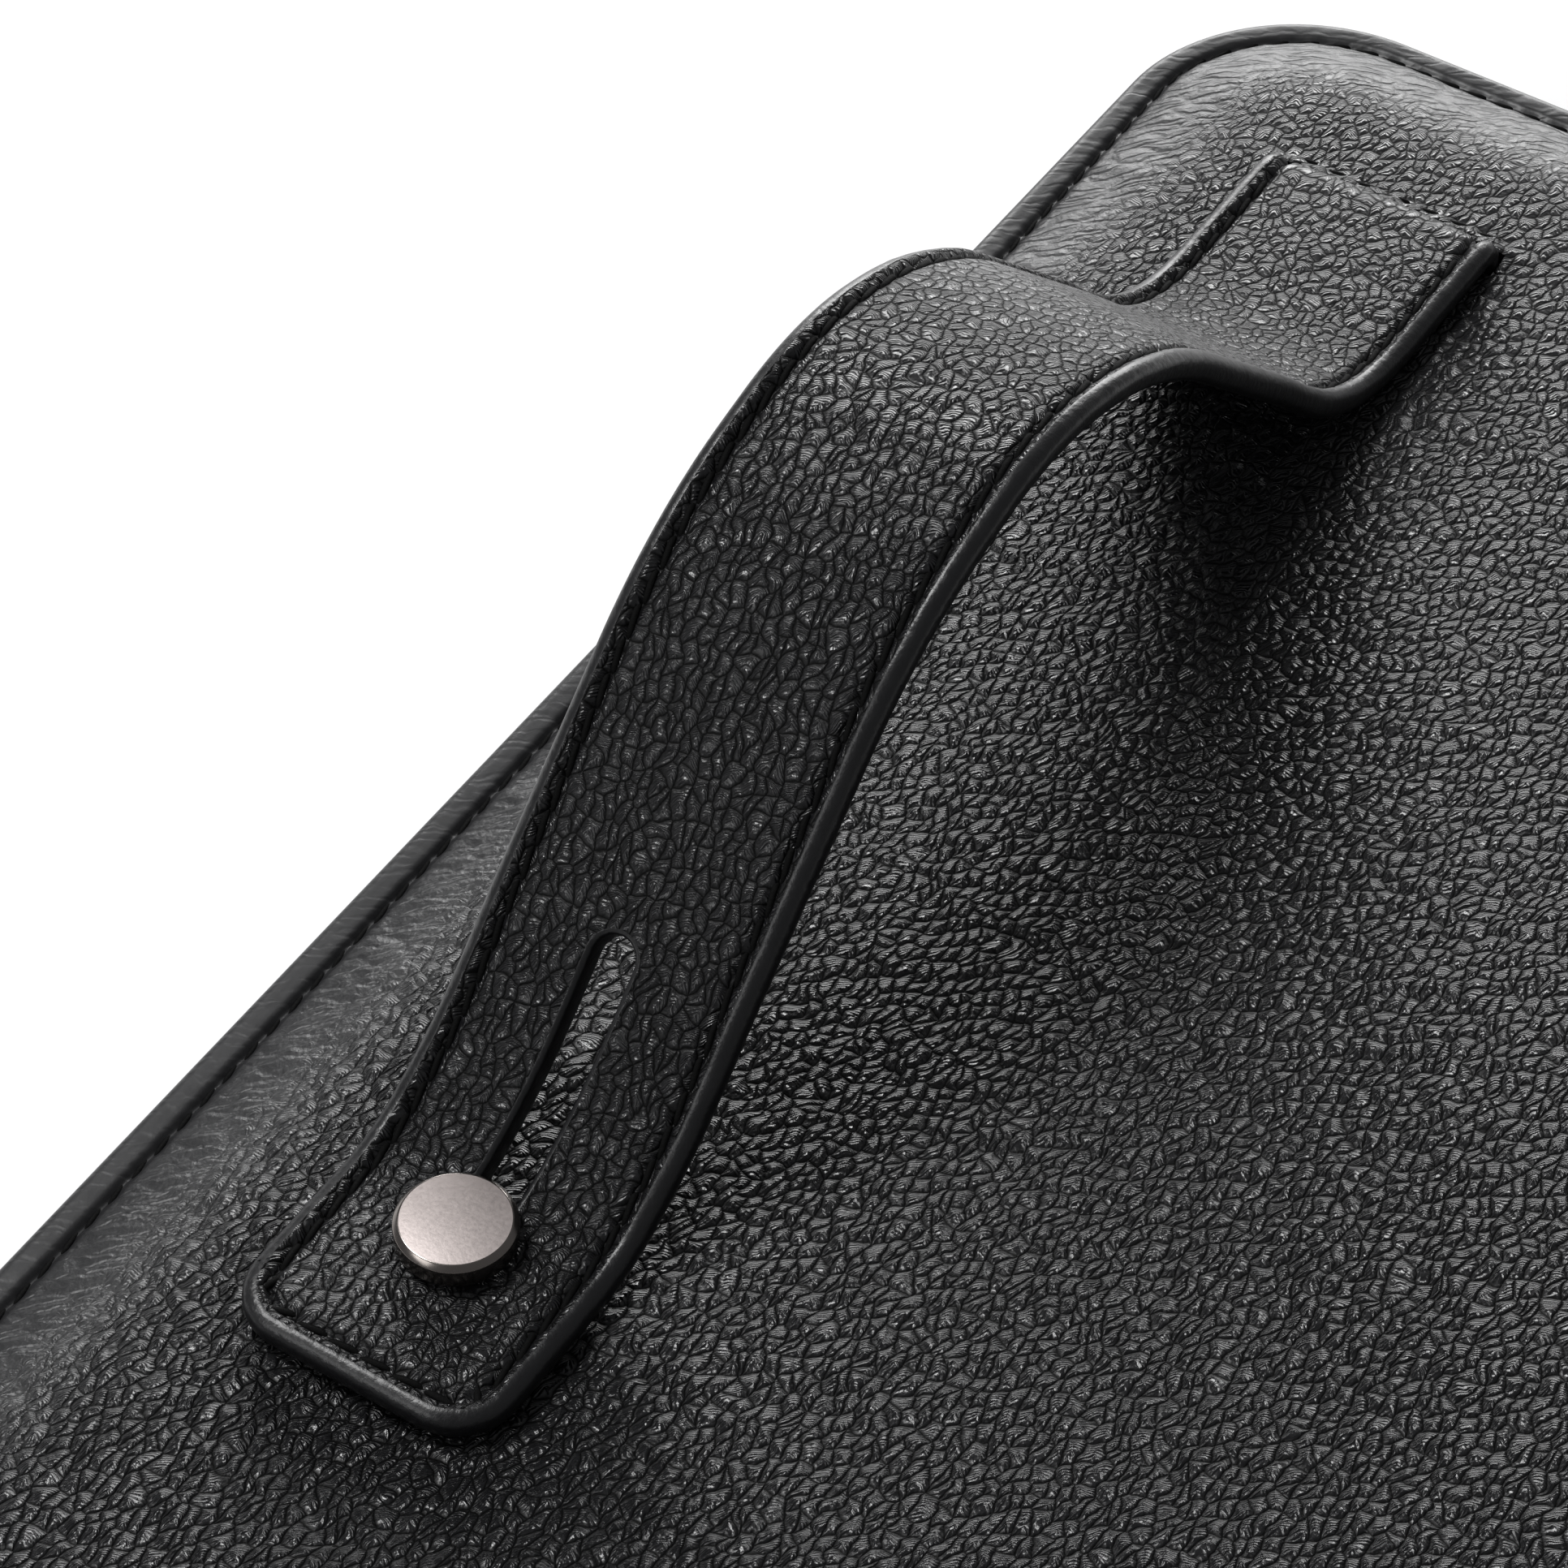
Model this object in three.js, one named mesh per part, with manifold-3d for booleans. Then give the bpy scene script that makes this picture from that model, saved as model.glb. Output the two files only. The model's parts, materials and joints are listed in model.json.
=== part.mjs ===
// Padded leather notebook cover with a captive hand strap on its back panel.
// Millimetres, +Z up. The cover lies closed, front panel down; the origin is on the table,
// under the middle of the closed cover. The spine is on the +X side, the fore edge on -X,
// the head of the cover on +Y.
import * as THREE from 'three';
import Module from 'manifold-3d';
import { mergeVertices } from 'three/addons/utils/BufferGeometryUtils.js';

// Driving dimensions
const WIDTH = 180;             // closed cover, fore edge to spine face
const HEIGHT = 240;            // closed cover, tail to head
const FORE_RADIUS = 20;        // rounded corners at the fore edge
const HINGE_RADIUS = 2;        // nearly square corners at the spine
const NOTEBOOK = 12;           // room for a notebook between the two panels
const GAP = 0.3;               // clearance between layers that are glued or sewn together

const LINING = 0.6;            // inner lining
const BOARD = 1.2;             // stiffener board
const FOAM = 2.7;              // padding
const HIDE = 1.2;              // outer leather
const TURN_IN = 1.0;           // skived leather turned under the edge
const TURN_IN_DEPTH = 10;      // how far it is turned under
const FLAP = 1.0;              // inner sleeve that holds the notebook's cover
const FLAP_WIDTH = 62;
const SEAM_INSET = 3.2;        // edge stitch line, from the panel's edge

const STRAP_WIDTH = 25;
const STRAP_LAYER = 1.2;       // face leather and backing leather, each
const STRAP_THICK = 2 * STRAP_LAYER + GAP;
const STRAP_FROM_FORE_EDGE = 32.0;   // strap's middle line
const STRAP_END_FROM_HEAD = 193.4;   // strap's loose end while the arch is up
const STRAP_END_RADIUS = 5.5;
const FOOT = 18.6;             // where the arch starts to rise, from the loose end
const SLIT = 166.5;            // where the strap enters the panel, from the loose end
const STUD = 15.1;             // stud's middle, from the loose end
const SLOT_HALF = 2.05;
const SLOT_TIP = 44.4;         // slot's far tip along the strap, from the loose end
const HEAD_RADIUS = 5;
const NECK_RADIUS = 1.7;

// The arch as rigid links between fold lines: length and climb angle in degrees, from the sewn
// end to the loose end. Each climb angle has the same total length going up as coming down,
// so the loose end stays flat on the panel however far the arch is pressed down.
const LINKS = [
  [6.5, 15], [7, 30], [39, 43.5], [11, 30], [9.5, 15], [7.5, 0],
  [12, -15], [10, -30], [39, -43.5], [8, -30], [4, -15],
];
const FOLD_GAP = 0.35;         // half the space left at each fold line

// Worked-out places
const EDGE = LINING + GAP + TURN_IN + GAP + HIDE;              // panel thickness at its edge
const PANEL = LINING + GAP + BOARD + GAP + FOAM + GAP + HIDE;  // panel thickness in the middle
const CLOSED = 2 * PANEL + NOTEBOOK;
const DROP = PANEL - EDGE;     // how far the padded middle stands above the edge
const FORE_X = -WIDTH / 2;
const SPINE_X = WIDTH / 2;
const HINGE_X = SPINE_X - HIDE;
const PANEL_END_X = SPINE_X - EDGE - 0.4;
const FOLD_SPACE = GAP;        // leather left out at each spine fold
const strapX = FORE_X + STRAP_FROM_FORE_EDGE;
const strapY = HEIGHT / 2 - STRAP_END_FROM_HEAD;
const strapTopZ = CLOSED + GAP + STRAP_THICK;
const toPanelZ = -(CLOSED - PANEL);
const footY = strapY + FOOT;
const archSpan = LINKS.reduce((sum, [length, climb]) => sum + length * Math.cos(rad(climb)), 0);
const sewnFoldY = footY + archSpan;
const midZ = strapTopZ - STRAP_THICK / 2;

function rad(degrees) {
  return degrees * Math.PI / 180;
}

// Materials
function leather(hex, roughness = 0.55) {
  return new THREE.MeshStandardMaterial({ color: hex, roughness, metalness: 0 });
}
const grain = leather(0x1c1c1e);
const backing = leather(0x242325, 0.7);
const suede = leather(0x3a3836, 0.95);
const foamGrey = leather(0x55565a, 0.95);
const boardBlack = leather(0x232221, 0.9);
const thread = leather(0x0f0f10, 0.6);
const nickel = new THREE.MeshStandardMaterial({ color: 0xb4aea9, roughness: 0.35, metalness: 1 });
const steel = new THREE.MeshStandardMaterial({ color: 0x8a8a8c, roughness: 0.4, metalness: 1 });

// Solids
const wasm = await Module();
wasm.setup();

function toSolid(geometry) {
  const bare = geometry.clone();
  bare.deleteAttribute('normal');
  bare.deleteAttribute('uv');
  const merged = mergeVertices(bare, 1e-4);
  return new wasm.Manifold(new wasm.Mesh({
    numProp: 3,
    vertProperties: new Float32Array(merged.attributes.position.array),
    triVerts: new Uint32Array(merged.index.array),
  }));
}

function toGeometry(solid) {
  const mesh = solid.getMesh();
  const geometry = new THREE.BufferGeometry();
  geometry.setAttribute('position', new THREE.BufferAttribute(mesh.vertProperties, 3));
  geometry.setIndex(new THREE.BufferAttribute(mesh.triVerts, 1));
  geometry.computeVertexNormals();
  return geometry;
}

function cut(geometry, ...tools) {
  let solid = toSolid(geometry);
  for (const tool of tools) {
    solid = solid.subtract(toSolid(tool));
  }
  return toGeometry(solid);
}

function join(geometry, other) {
  return toGeometry(toSolid(geometry).add(toSolid(other)));
}

function box(x0, x1, y0, y1, z0, z1) {
  const geometry = new THREE.BoxGeometry(x1 - x0, y1 - y0, z1 - z0);
  geometry.translate((x0 + x1) / 2, (y0 + y1) / 2, (z0 + z1) / 2);
  return geometry;
}

function turned(profile, segments = 28) {
  const points = profile.map(([r, z]) => new THREE.Vector2(r, z));
  const geometry = new THREE.LatheGeometry(points, segments);
  geometry.rotateX(Math.PI / 2);
  return geometry;
}

function round(x, y, radius, z0, z1) {
  const geometry = turned([[0, z0], [radius, z0], [radius, z1], [0, z1]], 20);
  geometry.translate(x, y, 0);
  return geometry;
}

// A panel's outline, drawn in from its edge: two round corners at the fore edge, two at the hinge.
function outline(inset) {
  const x0 = FORE_X + inset;
  const x1 = PANEL_END_X - inset;
  const y1 = HEIGHT / 2 - inset;
  const corners = [
    [x1, -y1, HINGE_RADIUS, -90, 2],
    [x1, y1, HINGE_RADIUS, 0, 2],
    [x0, y1, FORE_RADIUS, 90, 7],
    [x0, -y1, FORE_RADIUS, 180, 7],
  ];
  const points = [];
  for (const [x, y, fullRadius, start, steps] of corners) {
    const radius = Math.max(fullRadius - inset, 0.6);
    const cx = x - Math.sign(x - (x0 + x1) / 2) * radius;
    const cy = y - Math.sign(y) * radius;
    for (let i = 0; i <= steps; i += 1) {
      const angle = rad(start + 90 * i / steps);
      points.push([cx + radius * Math.cos(angle), cy + radius * Math.sin(angle)]);
    }
  }
  return points;
}

// A closed solid made of outlines stacked along a profile of [inset, z]. An open profile runs from
// the middle of the lower side to the middle of the upper side and is capped; a closed one is a ring.
function stacked(profile, closed = false) {
  const rings = profile.map(([inset, z]) => outline(inset).map(([x, y]) => [x, y, z]));
  const count = rings[0].length;
  const positions = rings.flat(2);
  const index = [];
  const last = closed ? rings.length : rings.length - 1;
  for (let r = 0; r < last; r += 1) {
    const next = (r + 1) % rings.length;
    for (let i = 0; i < count; i += 1) {
      const j = (i + 1) % count;
      const a = r * count + i;
      const b = r * count + j;
      const c = next * count + j;
      const d = next * count + i;
      index.push(a, b, c, a, c, d);
    }
  }
  if (!closed) {
    const top = (rings.length - 1) * count;
    for (let i = 1; i < count - 1; i += 1) {
      index.push(0, i + 1, i);
      index.push(top, top + i, top + i + 1);
    }
  }
  const geometry = new THREE.BufferGeometry();
  geometry.setAttribute('position', new THREE.Float32BufferAttribute(positions, 3));
  geometry.setIndex(index);
  geometry.computeVertexNormals();
  return geometry;
}

// A flat plate cut to a drawn shape, from z0 up to z1
function plate(points, z0, z1, holes = []) {
  const shape = new THREE.Shape(points.map(([x, y]) => new THREE.Vector2(x, y)));
  for (const hole of holes) {
    shape.holes.push(new THREE.Path(hole.map(([x, y]) => new THREE.Vector2(x, y))));
  }
  const geometry = new THREE.ExtrudeGeometry(shape, { depth: z1 - z0, bevelEnabled: false });
  geometry.translate(0, 0, z0);
  return geometry;
}

function arc(cx, cy, radius, from, to, steps) {
  const points = [];
  for (let i = 0; i <= steps; i += 1) {
    const angle = rad(from + (to - from) * i / steps);
    points.push([cx + radius * Math.cos(angle), cy + radius * Math.sin(angle)]);
  }
  return points;
}

function add(parent, name, geometry, material) {
  const mesh = new THREE.Mesh(geometry, material);
  mesh.name = name;
  parent.add(mesh);
  return mesh;
}

// One padded panel, its inner face at z = 0 and its padded face up
const hideTop = PANEL;
const edgeTop = EDGE;
const edgeUnder = EDGE - HIDE;
const turnTop = LINING + GAP + TURN_IN;
const turnUnder = LINING + GAP;
const CROWN = [[4.8, 0.22], [7.2, 0.55], [10, 0.8], [14, 0.95], [20, 1]];   // inset, share of the drop

function hideShell() {
  const under = CROWN.map(([inset, share]) => [inset, edgeUnder + DROP * share]).reverse();
  const over = CROWN.map(([inset, share]) => [inset, edgeTop + DROP * share]);
  return stacked([
    ...under,
    [3.8, edgeUnder], [1.4, edgeUnder], [1.4, turnTop],
    [TURN_IN_DEPTH, turnTop], [TURN_IN_DEPTH, turnUnder],
    [0.5, turnUnder], [0.15, turnUnder + 0.35], [0, turnUnder + 0.9],
    [0, edgeTop - 0.9], [0.15, edgeTop - 0.35], [0.5, edgeTop],
    [SEAM_INSET - 0.6, edgeTop], [SEAM_INSET - 0.6, edgeTop - 0.65],
    [SEAM_INSET + 0.6, edgeTop - 0.65], [SEAM_INSET + 0.6, edgeTop],
    ...over,
  ]);
}

function hingeTongue() {
  const end = HEIGHT / 2 - HINGE_RADIUS;
  return box(PANEL_END_X - 1, HINGE_X - FOLD_SPACE, -end, end, edgeUnder, edgeTop);
}

function seamThread() {
  const a = SEAM_INSET - 0.3;
  const b = SEAM_INSET + 0.3;
  return stacked([[a, edgeTop - 0.35], [a, edgeTop + 0.1], [b, edgeTop + 0.1], [b, edgeTop - 0.35]], true);
}

function foamPad() {
  const bottom = LINING + GAP + BOARD + GAP;
  const rise = FOAM - 0.4;
  const over = CROWN.slice(1).map(([inset, share]) => [inset, bottom + 0.4 + rise * (share - 0.08)]);
  over[over.length - 1][1] = bottom + FOAM;
  over[over.length - 2][1] = bottom + FOAM - 0.2;
  return stacked([[5.4, bottom], [5.4, bottom + 0.3], ...over]);
}

function stiffener() {
  const bottom = LINING + GAP;
  const inset = TURN_IN_DEPTH + GAP;
  return stacked([[inset, bottom], [inset, bottom + BOARD]]);
}

function liningSheet() {
  return stacked([[1.2, 0], [1.2, LINING]]);
}

// A sleeve sewn round three sides, open towards the spine, that the notebook's cover slips into
function flap() {
  const inset = 1.2;
  const x0 = FORE_X + inset;
  const x1 = FORE_X + FLAP_WIDTH;
  const y1 = HEIGHT / 2 - inset;
  const radius = FORE_RADIUS - inset;
  const thumbNotch = arc(x1 + 32, 0, 40, 217, 143, 8);
  const sheet = plate([
    [x1, -y1], ...thumbNotch, [x1, y1],
    ...arc(x0 + radius, y1 - radius, radius, 90, 180, 6),
    ...arc(x0 + radius, -y1 + radius, radius, 180, 270, 6),
  ], -GAP - FLAP - 0.5, -GAP);
  const welt = 4;
  const room = box(x0 + welt, x1 + 1, -y1 + welt, y1 - welt, -GAP - 0.5, 0);
  return cut(sheet, room);
}

function panelLayers(parent, side) {
  return {
    lining: add(parent, `${side}_lining`, liningSheet(), suede),
    board: add(parent, `${side}_board`, stiffener(), boardBlack),
    foam: add(parent, `${side}_foam`, foamPad(), foamGrey),
    hide: add(parent, `${side}_leather`, join(hideShell(), hingeTongue()), grain),
    thread: add(parent, `${side}_edge_thread`, seamThread(), thread),
    flap: add(parent, `${side}_flap`, flap(), backing),
  };
}

// Front panel: lies face down, so it is the same build turned over
const cover = new THREE.Group();
const frontPanel = new THREE.Group();
frontPanel.rotation.x = Math.PI;
frontPanel.position.z = PANEL;
cover.add(frontPanel);
panelLayers(frontPanel, 'front');

// Back panel, with the strap
const backPanel = new THREE.Group();
backPanel.position.z = CLOSED - PANEL;
cover.add(backPanel);
const back = panelLayers(backPanel, 'back');

// Strap tail: the face leather dives through the slit and lies under the hide
const slitY = strapY + SLIT;
const TAIL = 10.5;
const TAIL_THICK = 1.0;
const hideUnderZ = CLOSED - HIDE;
const tailTopZ = hideUnderZ - GAP;
const tailBottomZ = tailTopZ - TAIL_THICK;
const studY = strapY + STUD;
const SCREW_HEAD_RADIUS = 4.5;
const WASHER_RADIUS = 6;

const slit = box(strapX - STRAP_WIDTH / 2 - 0.4, strapX + STRAP_WIDTH / 2 + 0.4,
  slitY - STRAP_LAYER - GAP, slitY + GAP, hideTop - 2 * HIDE, hideTop + 1);
const rowY = slitY + 1.9;
const rowGroove = box(strapX - 11.6, strapX + 11.6, rowY - 0.55, rowY + 0.55, hideTop - 0.6, hideTop + 1);
const studHole = round(strapX, studY, NECK_RADIUS + GAP, hideTop - 2 * HIDE, hideTop + 1);
back.hide.geometry = cut(back.hide.geometry, slit, rowGroove, studHole);

const tailRecess = box(strapX - STRAP_WIDTH / 2 - 0.6, strapX + STRAP_WIDTH / 2 + 0.6,
  slitY - STRAP_LAYER - 0.6, slitY + TAIL + 0.6, tailBottomZ + toPanelZ - GAP, hideTop + 1);
const studRecess = round(strapX, studY, WASHER_RADIUS + 0.5, LINING + BOARD + 3 * GAP + 0.3, hideTop + 1);
back.foam.geometry = cut(back.foam.geometry, tailRecess, studRecess);

// A strip of strap leather whose side profile [y, z] is carried across the strap's width
function acrossStrap(profile) {
  const shape = new THREE.Shape(profile.map(([y, z]) => new THREE.Vector2(y, z)));
  const geometry = new THREE.ExtrudeGeometry(shape, { depth: STRAP_WIDTH, bevelEnabled: false });
  geometry.rotateY(Math.PI / 2);
  geometry.rotateX(Math.PI / 2);
  geometry.translate(strapX - STRAP_WIDTH / 2, 0, 0);
  return geometry;
}

const faceUnderZ = strapTopZ - STRAP_LAYER;
const strapUnderZ = strapTopZ - STRAP_THICK;
const fixedY = sewnFoldY + FOLD_GAP;
add(cover, 'strap_face_sewn_end', acrossStrap([
  [fixedY, strapTopZ], [fixedY, faceUnderZ], [slitY - STRAP_LAYER, faceUnderZ],
  [slitY - STRAP_LAYER, tailBottomZ], [slitY + TAIL, tailBottomZ], [slitY + TAIL, tailTopZ],
  [slitY, tailTopZ], [slitY, strapTopZ - 0.9], [slitY - 0.9, strapTopZ],
]), grain);
add(cover, 'strap_backing_sewn_end', acrossStrap([
  [fixedY, faceUnderZ - GAP], [fixedY, strapUnderZ],
  [slitY - STRAP_LAYER - GAP, strapUnderZ], [slitY - STRAP_LAYER - GAP, faceUnderZ - GAP],
]), backing);
add(cover, 'strap_row_thread', box(strapX - 11.3, strapX + 11.3, rowY - 0.25, rowY + 0.25,
  CLOSED - 0.3, CLOSED + 0.15), thread);

// Strap links between fold lines
function linkPlan(from, to, sAtFrom) {
  // v runs from the fold nearer the sewn end; the slot is cut where the strap carries it
  const half = STRAP_WIDTH / 2;
  const tipCentre = sAtFrom - (SLOT_TIP - SLOT_HALF);
  if (tipCentre <= from) {
    return [
      { side: '_left', points: [[-half, -from], [-half, -to], [-SLOT_HALF, -to], [-SLOT_HALF, -from]] },
      { side: '_right', points: [[SLOT_HALF, -from], [SLOT_HALF, -to], [half, -to], [half, -from]] },
    ];
  }
  if (tipCentre < to) {
    const notch = arc(0, -tipCentre, SLOT_HALF, 0, 180, 8);
    return [{ side: '', points: [
      [-half, -from], [-half, -to], [-SLOT_HALF, -to],
      ...notch.reverse(), [SLOT_HALF, -to], [half, -to], [half, -from]] }];
  }
  return [{ side: '', points: [[-half, -from], [-half, -to], [half, -to], [half, -from]] }];
}

const topLayer = [GAP / 2, GAP / 2 + STRAP_LAYER];
const lowLayer = [-GAP / 2 - STRAP_LAYER, -GAP / 2];
let foldY = sewnFoldY;
let foldZ = midZ;
let along = FOOT + LINKS.reduce((sum, [length]) => sum + length, 0);
LINKS.forEach(([length, climb], i) => {
  const number = String(i + 1).padStart(2, '0');
  const link = new THREE.Group();
  link.position.set(strapX, foldY, foldZ);
  link.rotation.x = -rad(climb);
  cover.add(link);
  for (const { side, points } of linkPlan(FOLD_GAP, length - FOLD_GAP, along)) {
    add(link, `strap_face_${number}${side}`, plate(points, ...topLayer), grain);
    add(link, `strap_backing_${number}${side}`, plate(points, ...lowLayer), backing);
  }
  foldY -= length * Math.cos(rad(climb));
  foldZ += length * Math.sin(rad(climb));
  along -= length;
});

// Loose end of the strap, with the near end of the slot
const nearCentre = STUD - 0.2;
const endTop = FOOT - FOLD_GAP;
const endHalf = STRAP_WIDTH / 2;
const endPlan = [
  ...arc(-endHalf + STRAP_END_RADIUS, STRAP_END_RADIUS, STRAP_END_RADIUS, 180, 270, 6),
  ...arc(endHalf - STRAP_END_RADIUS, STRAP_END_RADIUS, STRAP_END_RADIUS, 270, 360, 6),
  [endHalf, endTop], [SLOT_HALF, endTop],
  ...arc(0, nearCentre, SLOT_HALF, 360, 180, 10),
  [-SLOT_HALF, endTop], [-endHalf, endTop],
];
const looseEnd = new THREE.Group();
looseEnd.position.set(strapX, strapY, midZ);
cover.add(looseEnd);
add(looseEnd, 'strap_face_loose_end', plate(endPlan, ...topLayer), grain);
add(looseEnd, 'strap_backing_loose_end', plate(endPlan, ...lowLayer), backing);

// Stud: a flat-topped head with a hollow neck, screwed on from under the hide over a washer
const HEAD_UNDER = 0.6;        // above the strap's face
const HEAD_THICK = 2.2;
const BEVEL = 0.55;
const BORE_RADIUS = 1.2;
const stud = new THREE.Group();
stud.position.set(strapX, studY, strapTopZ);
cover.add(stud);
const washerTop = hideUnderZ - GAP - strapTopZ;
const neckEnd = washerTop - 0.6;
const headTop = HEAD_UNDER + HEAD_THICK;
add(stud, 'stud_head', turned([
  [0, HEAD_UNDER + 0.4], [BORE_RADIUS, HEAD_UNDER + 0.4], [BORE_RADIUS, neckEnd],
  [NECK_RADIUS, neckEnd], [NECK_RADIUS, HEAD_UNDER], [HEAD_RADIUS - 0.3, HEAD_UNDER],
  [HEAD_RADIUS, HEAD_UNDER + 0.3], [HEAD_RADIUS, headTop - BEVEL],
  [HEAD_RADIUS - 0.65, headTop], [0, headTop],
]), nickel);
add(stud, 'stud_washer', turned([
  [NECK_RADIUS + GAP, washerTop - 0.5], [WASHER_RADIUS, washerTop - 0.5],
  [WASHER_RADIUS, washerTop], [NECK_RADIUS + GAP, washerTop], [NECK_RADIUS + GAP, washerTop - 0.5],
]), steel);
const screwTop = neckEnd - GAP;
add(stud, 'stud_screw', turned([
  [0, screwTop - 0.8], [SCREW_HEAD_RADIUS, screwTop - 0.8], [SCREW_HEAD_RADIUS, screwTop - 0.2],
  [SCREW_HEAD_RADIUS - 0.4, screwTop], [BORE_RADIUS - GAP, screwTop],
  [BORE_RADIUS - GAP, HEAD_UNDER - 0.2], [0, HEAD_UNDER - 0.2],
]), steel);

// Spine: hide, stiffener and lining, each between the two fold lines
const spineLow = DROP + HIDE + FOLD_SPACE;
const spineHigh = CLOSED - spineLow;
const innerLow = PANEL + 0.6;
const innerHigh = CLOSED - innerLow;
const spineEnd = HEIGHT / 2 - HINGE_RADIUS;
const boardX1 = SPINE_X - HIDE - GAP;
const boardX0 = boardX1 - 1.0;
const spineLiningX1 = boardX0 - GAP;
const boardEnd = spineEnd - 4;
add(cover, 'spine_leather', box(SPINE_X - HIDE, SPINE_X, -spineEnd, spineEnd, spineLow, spineHigh), grain);
add(cover, 'spine_board', box(boardX0, boardX1, -boardEnd, boardEnd, innerLow, innerHigh), boardBlack);
add(cover, 'spine_lining', box(spineLiningX1 - LINING, spineLiningX1, -spineEnd + 1, spineEnd - 1,
  innerLow, innerHigh), suede);

export default cover;
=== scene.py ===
# %% [markdown]
# # A padded leather notebook cover
# The cover is a folio: two padded leather panels joined by a folding spine. On the back panel
# lies a hand strap. One end of it is sewn through a slit, and the other end has a slot that
# slides round a metal stud, so the strap can stand up as an arch or be pressed flat.
# The frame that is loaded here holds the sizes, the joints and plain solids. This script makes
# the surfaces that are seen: hide, seams, strap, stud and lining.

# %% Load the frame
import json
import math

import bmesh
import bpy
from mathutils import Matrix, Vector, noise


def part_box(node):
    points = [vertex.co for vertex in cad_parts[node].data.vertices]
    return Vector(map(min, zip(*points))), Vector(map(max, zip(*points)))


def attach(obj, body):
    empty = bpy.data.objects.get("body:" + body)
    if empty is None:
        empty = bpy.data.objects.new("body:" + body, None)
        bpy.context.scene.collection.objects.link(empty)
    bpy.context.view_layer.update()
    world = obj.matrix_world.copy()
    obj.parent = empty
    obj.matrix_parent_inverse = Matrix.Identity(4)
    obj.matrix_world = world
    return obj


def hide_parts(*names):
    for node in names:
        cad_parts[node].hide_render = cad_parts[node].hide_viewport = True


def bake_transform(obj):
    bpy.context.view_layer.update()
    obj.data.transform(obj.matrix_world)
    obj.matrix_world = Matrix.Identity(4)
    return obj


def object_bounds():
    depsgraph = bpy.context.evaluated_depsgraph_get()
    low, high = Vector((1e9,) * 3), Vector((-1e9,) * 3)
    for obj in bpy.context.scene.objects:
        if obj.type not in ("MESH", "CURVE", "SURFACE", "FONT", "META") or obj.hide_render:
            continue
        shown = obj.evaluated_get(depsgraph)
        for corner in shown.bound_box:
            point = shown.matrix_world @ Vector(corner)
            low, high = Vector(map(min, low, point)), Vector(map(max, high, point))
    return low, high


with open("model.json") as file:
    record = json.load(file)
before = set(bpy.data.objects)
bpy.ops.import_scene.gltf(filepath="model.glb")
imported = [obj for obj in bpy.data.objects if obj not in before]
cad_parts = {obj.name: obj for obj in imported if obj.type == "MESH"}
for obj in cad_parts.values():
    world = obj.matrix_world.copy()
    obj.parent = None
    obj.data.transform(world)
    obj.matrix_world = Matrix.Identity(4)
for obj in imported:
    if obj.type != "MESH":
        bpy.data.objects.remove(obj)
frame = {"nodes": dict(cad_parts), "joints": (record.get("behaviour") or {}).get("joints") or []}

cad_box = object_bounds()
MM = 0.001
print("pieces in the frame:", len(frame["nodes"]))

# %% [markdown]
# ## The view
# The cover is looked at from above, from the tail and the spine side, through a long lens, so the
# strap fills the picture. The camera is placed by two angles and a distance from the point that it
# looks at, because those are the numbers a photographer would give.

# %% Camera
AZIMUTH, ELEVATION, ROLL = math.radians(32.8), math.radians(47.27), math.radians(0.63)
DISTANCE = 0.441
LENS = 119.6
AIM = Vector((-0.0634, -0.0034, 0.0282))

away = Vector((math.sin(AZIMUTH) * math.cos(ELEVATION), -math.cos(AZIMUTH) * math.cos(ELEVATION),
               math.sin(ELEVATION)))
right = Vector((0, 0, 1)).cross(away).normalized()
up = away.cross(right)
side = right * math.cos(ROLL) + up * math.sin(ROLL)
top = up * math.cos(ROLL) - right * math.sin(ROLL)
camera = bpy.data.objects.new("camera", bpy.data.cameras.new("camera"))
bpy.context.scene.collection.objects.link(camera)
camera.data.lens = LENS
camera.data.clip_start = 0.02
camera.matrix_world = Matrix((
    (side.x, top.x, away.x, 0), (side.y, top.y, away.y, 0), (side.z, top.z, away.z, 0), (0, 0, 0, 1)))
camera.location = AIM + away * DISTANCE
bpy.context.scene.camera = camera
print("camera at", tuple(round(c, 3) for c in camera.location))

# %% [markdown]
# ## Places read from the frame
# The strap's fold lines are the joints of the frame. Reading them here keeps the strap on its
# joints: if a joint moves in the design, the leather follows.

# %% Sizes and places
hide_low, hide_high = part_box("back_leather")
end_low, end_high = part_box("strap_face_loose_end")
head_low, head_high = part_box("stud_head")
seam_low, seam_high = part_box("back_edge_thread")
row_low, row_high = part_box("strap_row_thread")

THREAD_PROUD = 0.1 * MM
ROW_PAST_SLIT = 1.65 * MM
PANEL_TOP = hide_high.z
PANEL_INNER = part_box("back_lining")[0].z
FRONT_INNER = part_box("front_lining")[1].z
EDGE_THICK = seam_high.z - THREAD_PROUD - PANEL_INNER
strap_x = (end_low.x + end_high.x) / 2
strap_half = (end_high.x - end_low.x) / 2
STRAP_THICK = end_high.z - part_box("strap_backing_loose_end")[0].z
strap_top = end_high.z
strap_mid = strap_top - STRAP_THICK / 2
slit_y = row_low.y - ROW_PAST_SLIT
stud_y = (head_low.y + head_high.y) / 2

folds = [j for j in frame["joints"] if j["name"].startswith("strap_")]
fold_points = [Vector((j["pos_m"][1], j["pos_m"][2])) for j in folds]
print("folds in the strap:", len(folds), " strap width in mm:", round(strap_half * 2000, 1))

# %% [markdown]
# ## Two small helpers
# Colours are picked as sRGB hex values, as a designer reads them off a swatch, and a shader wants
# them linear. Shader trees are built by one function that adds a node with its settings and links.

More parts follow.
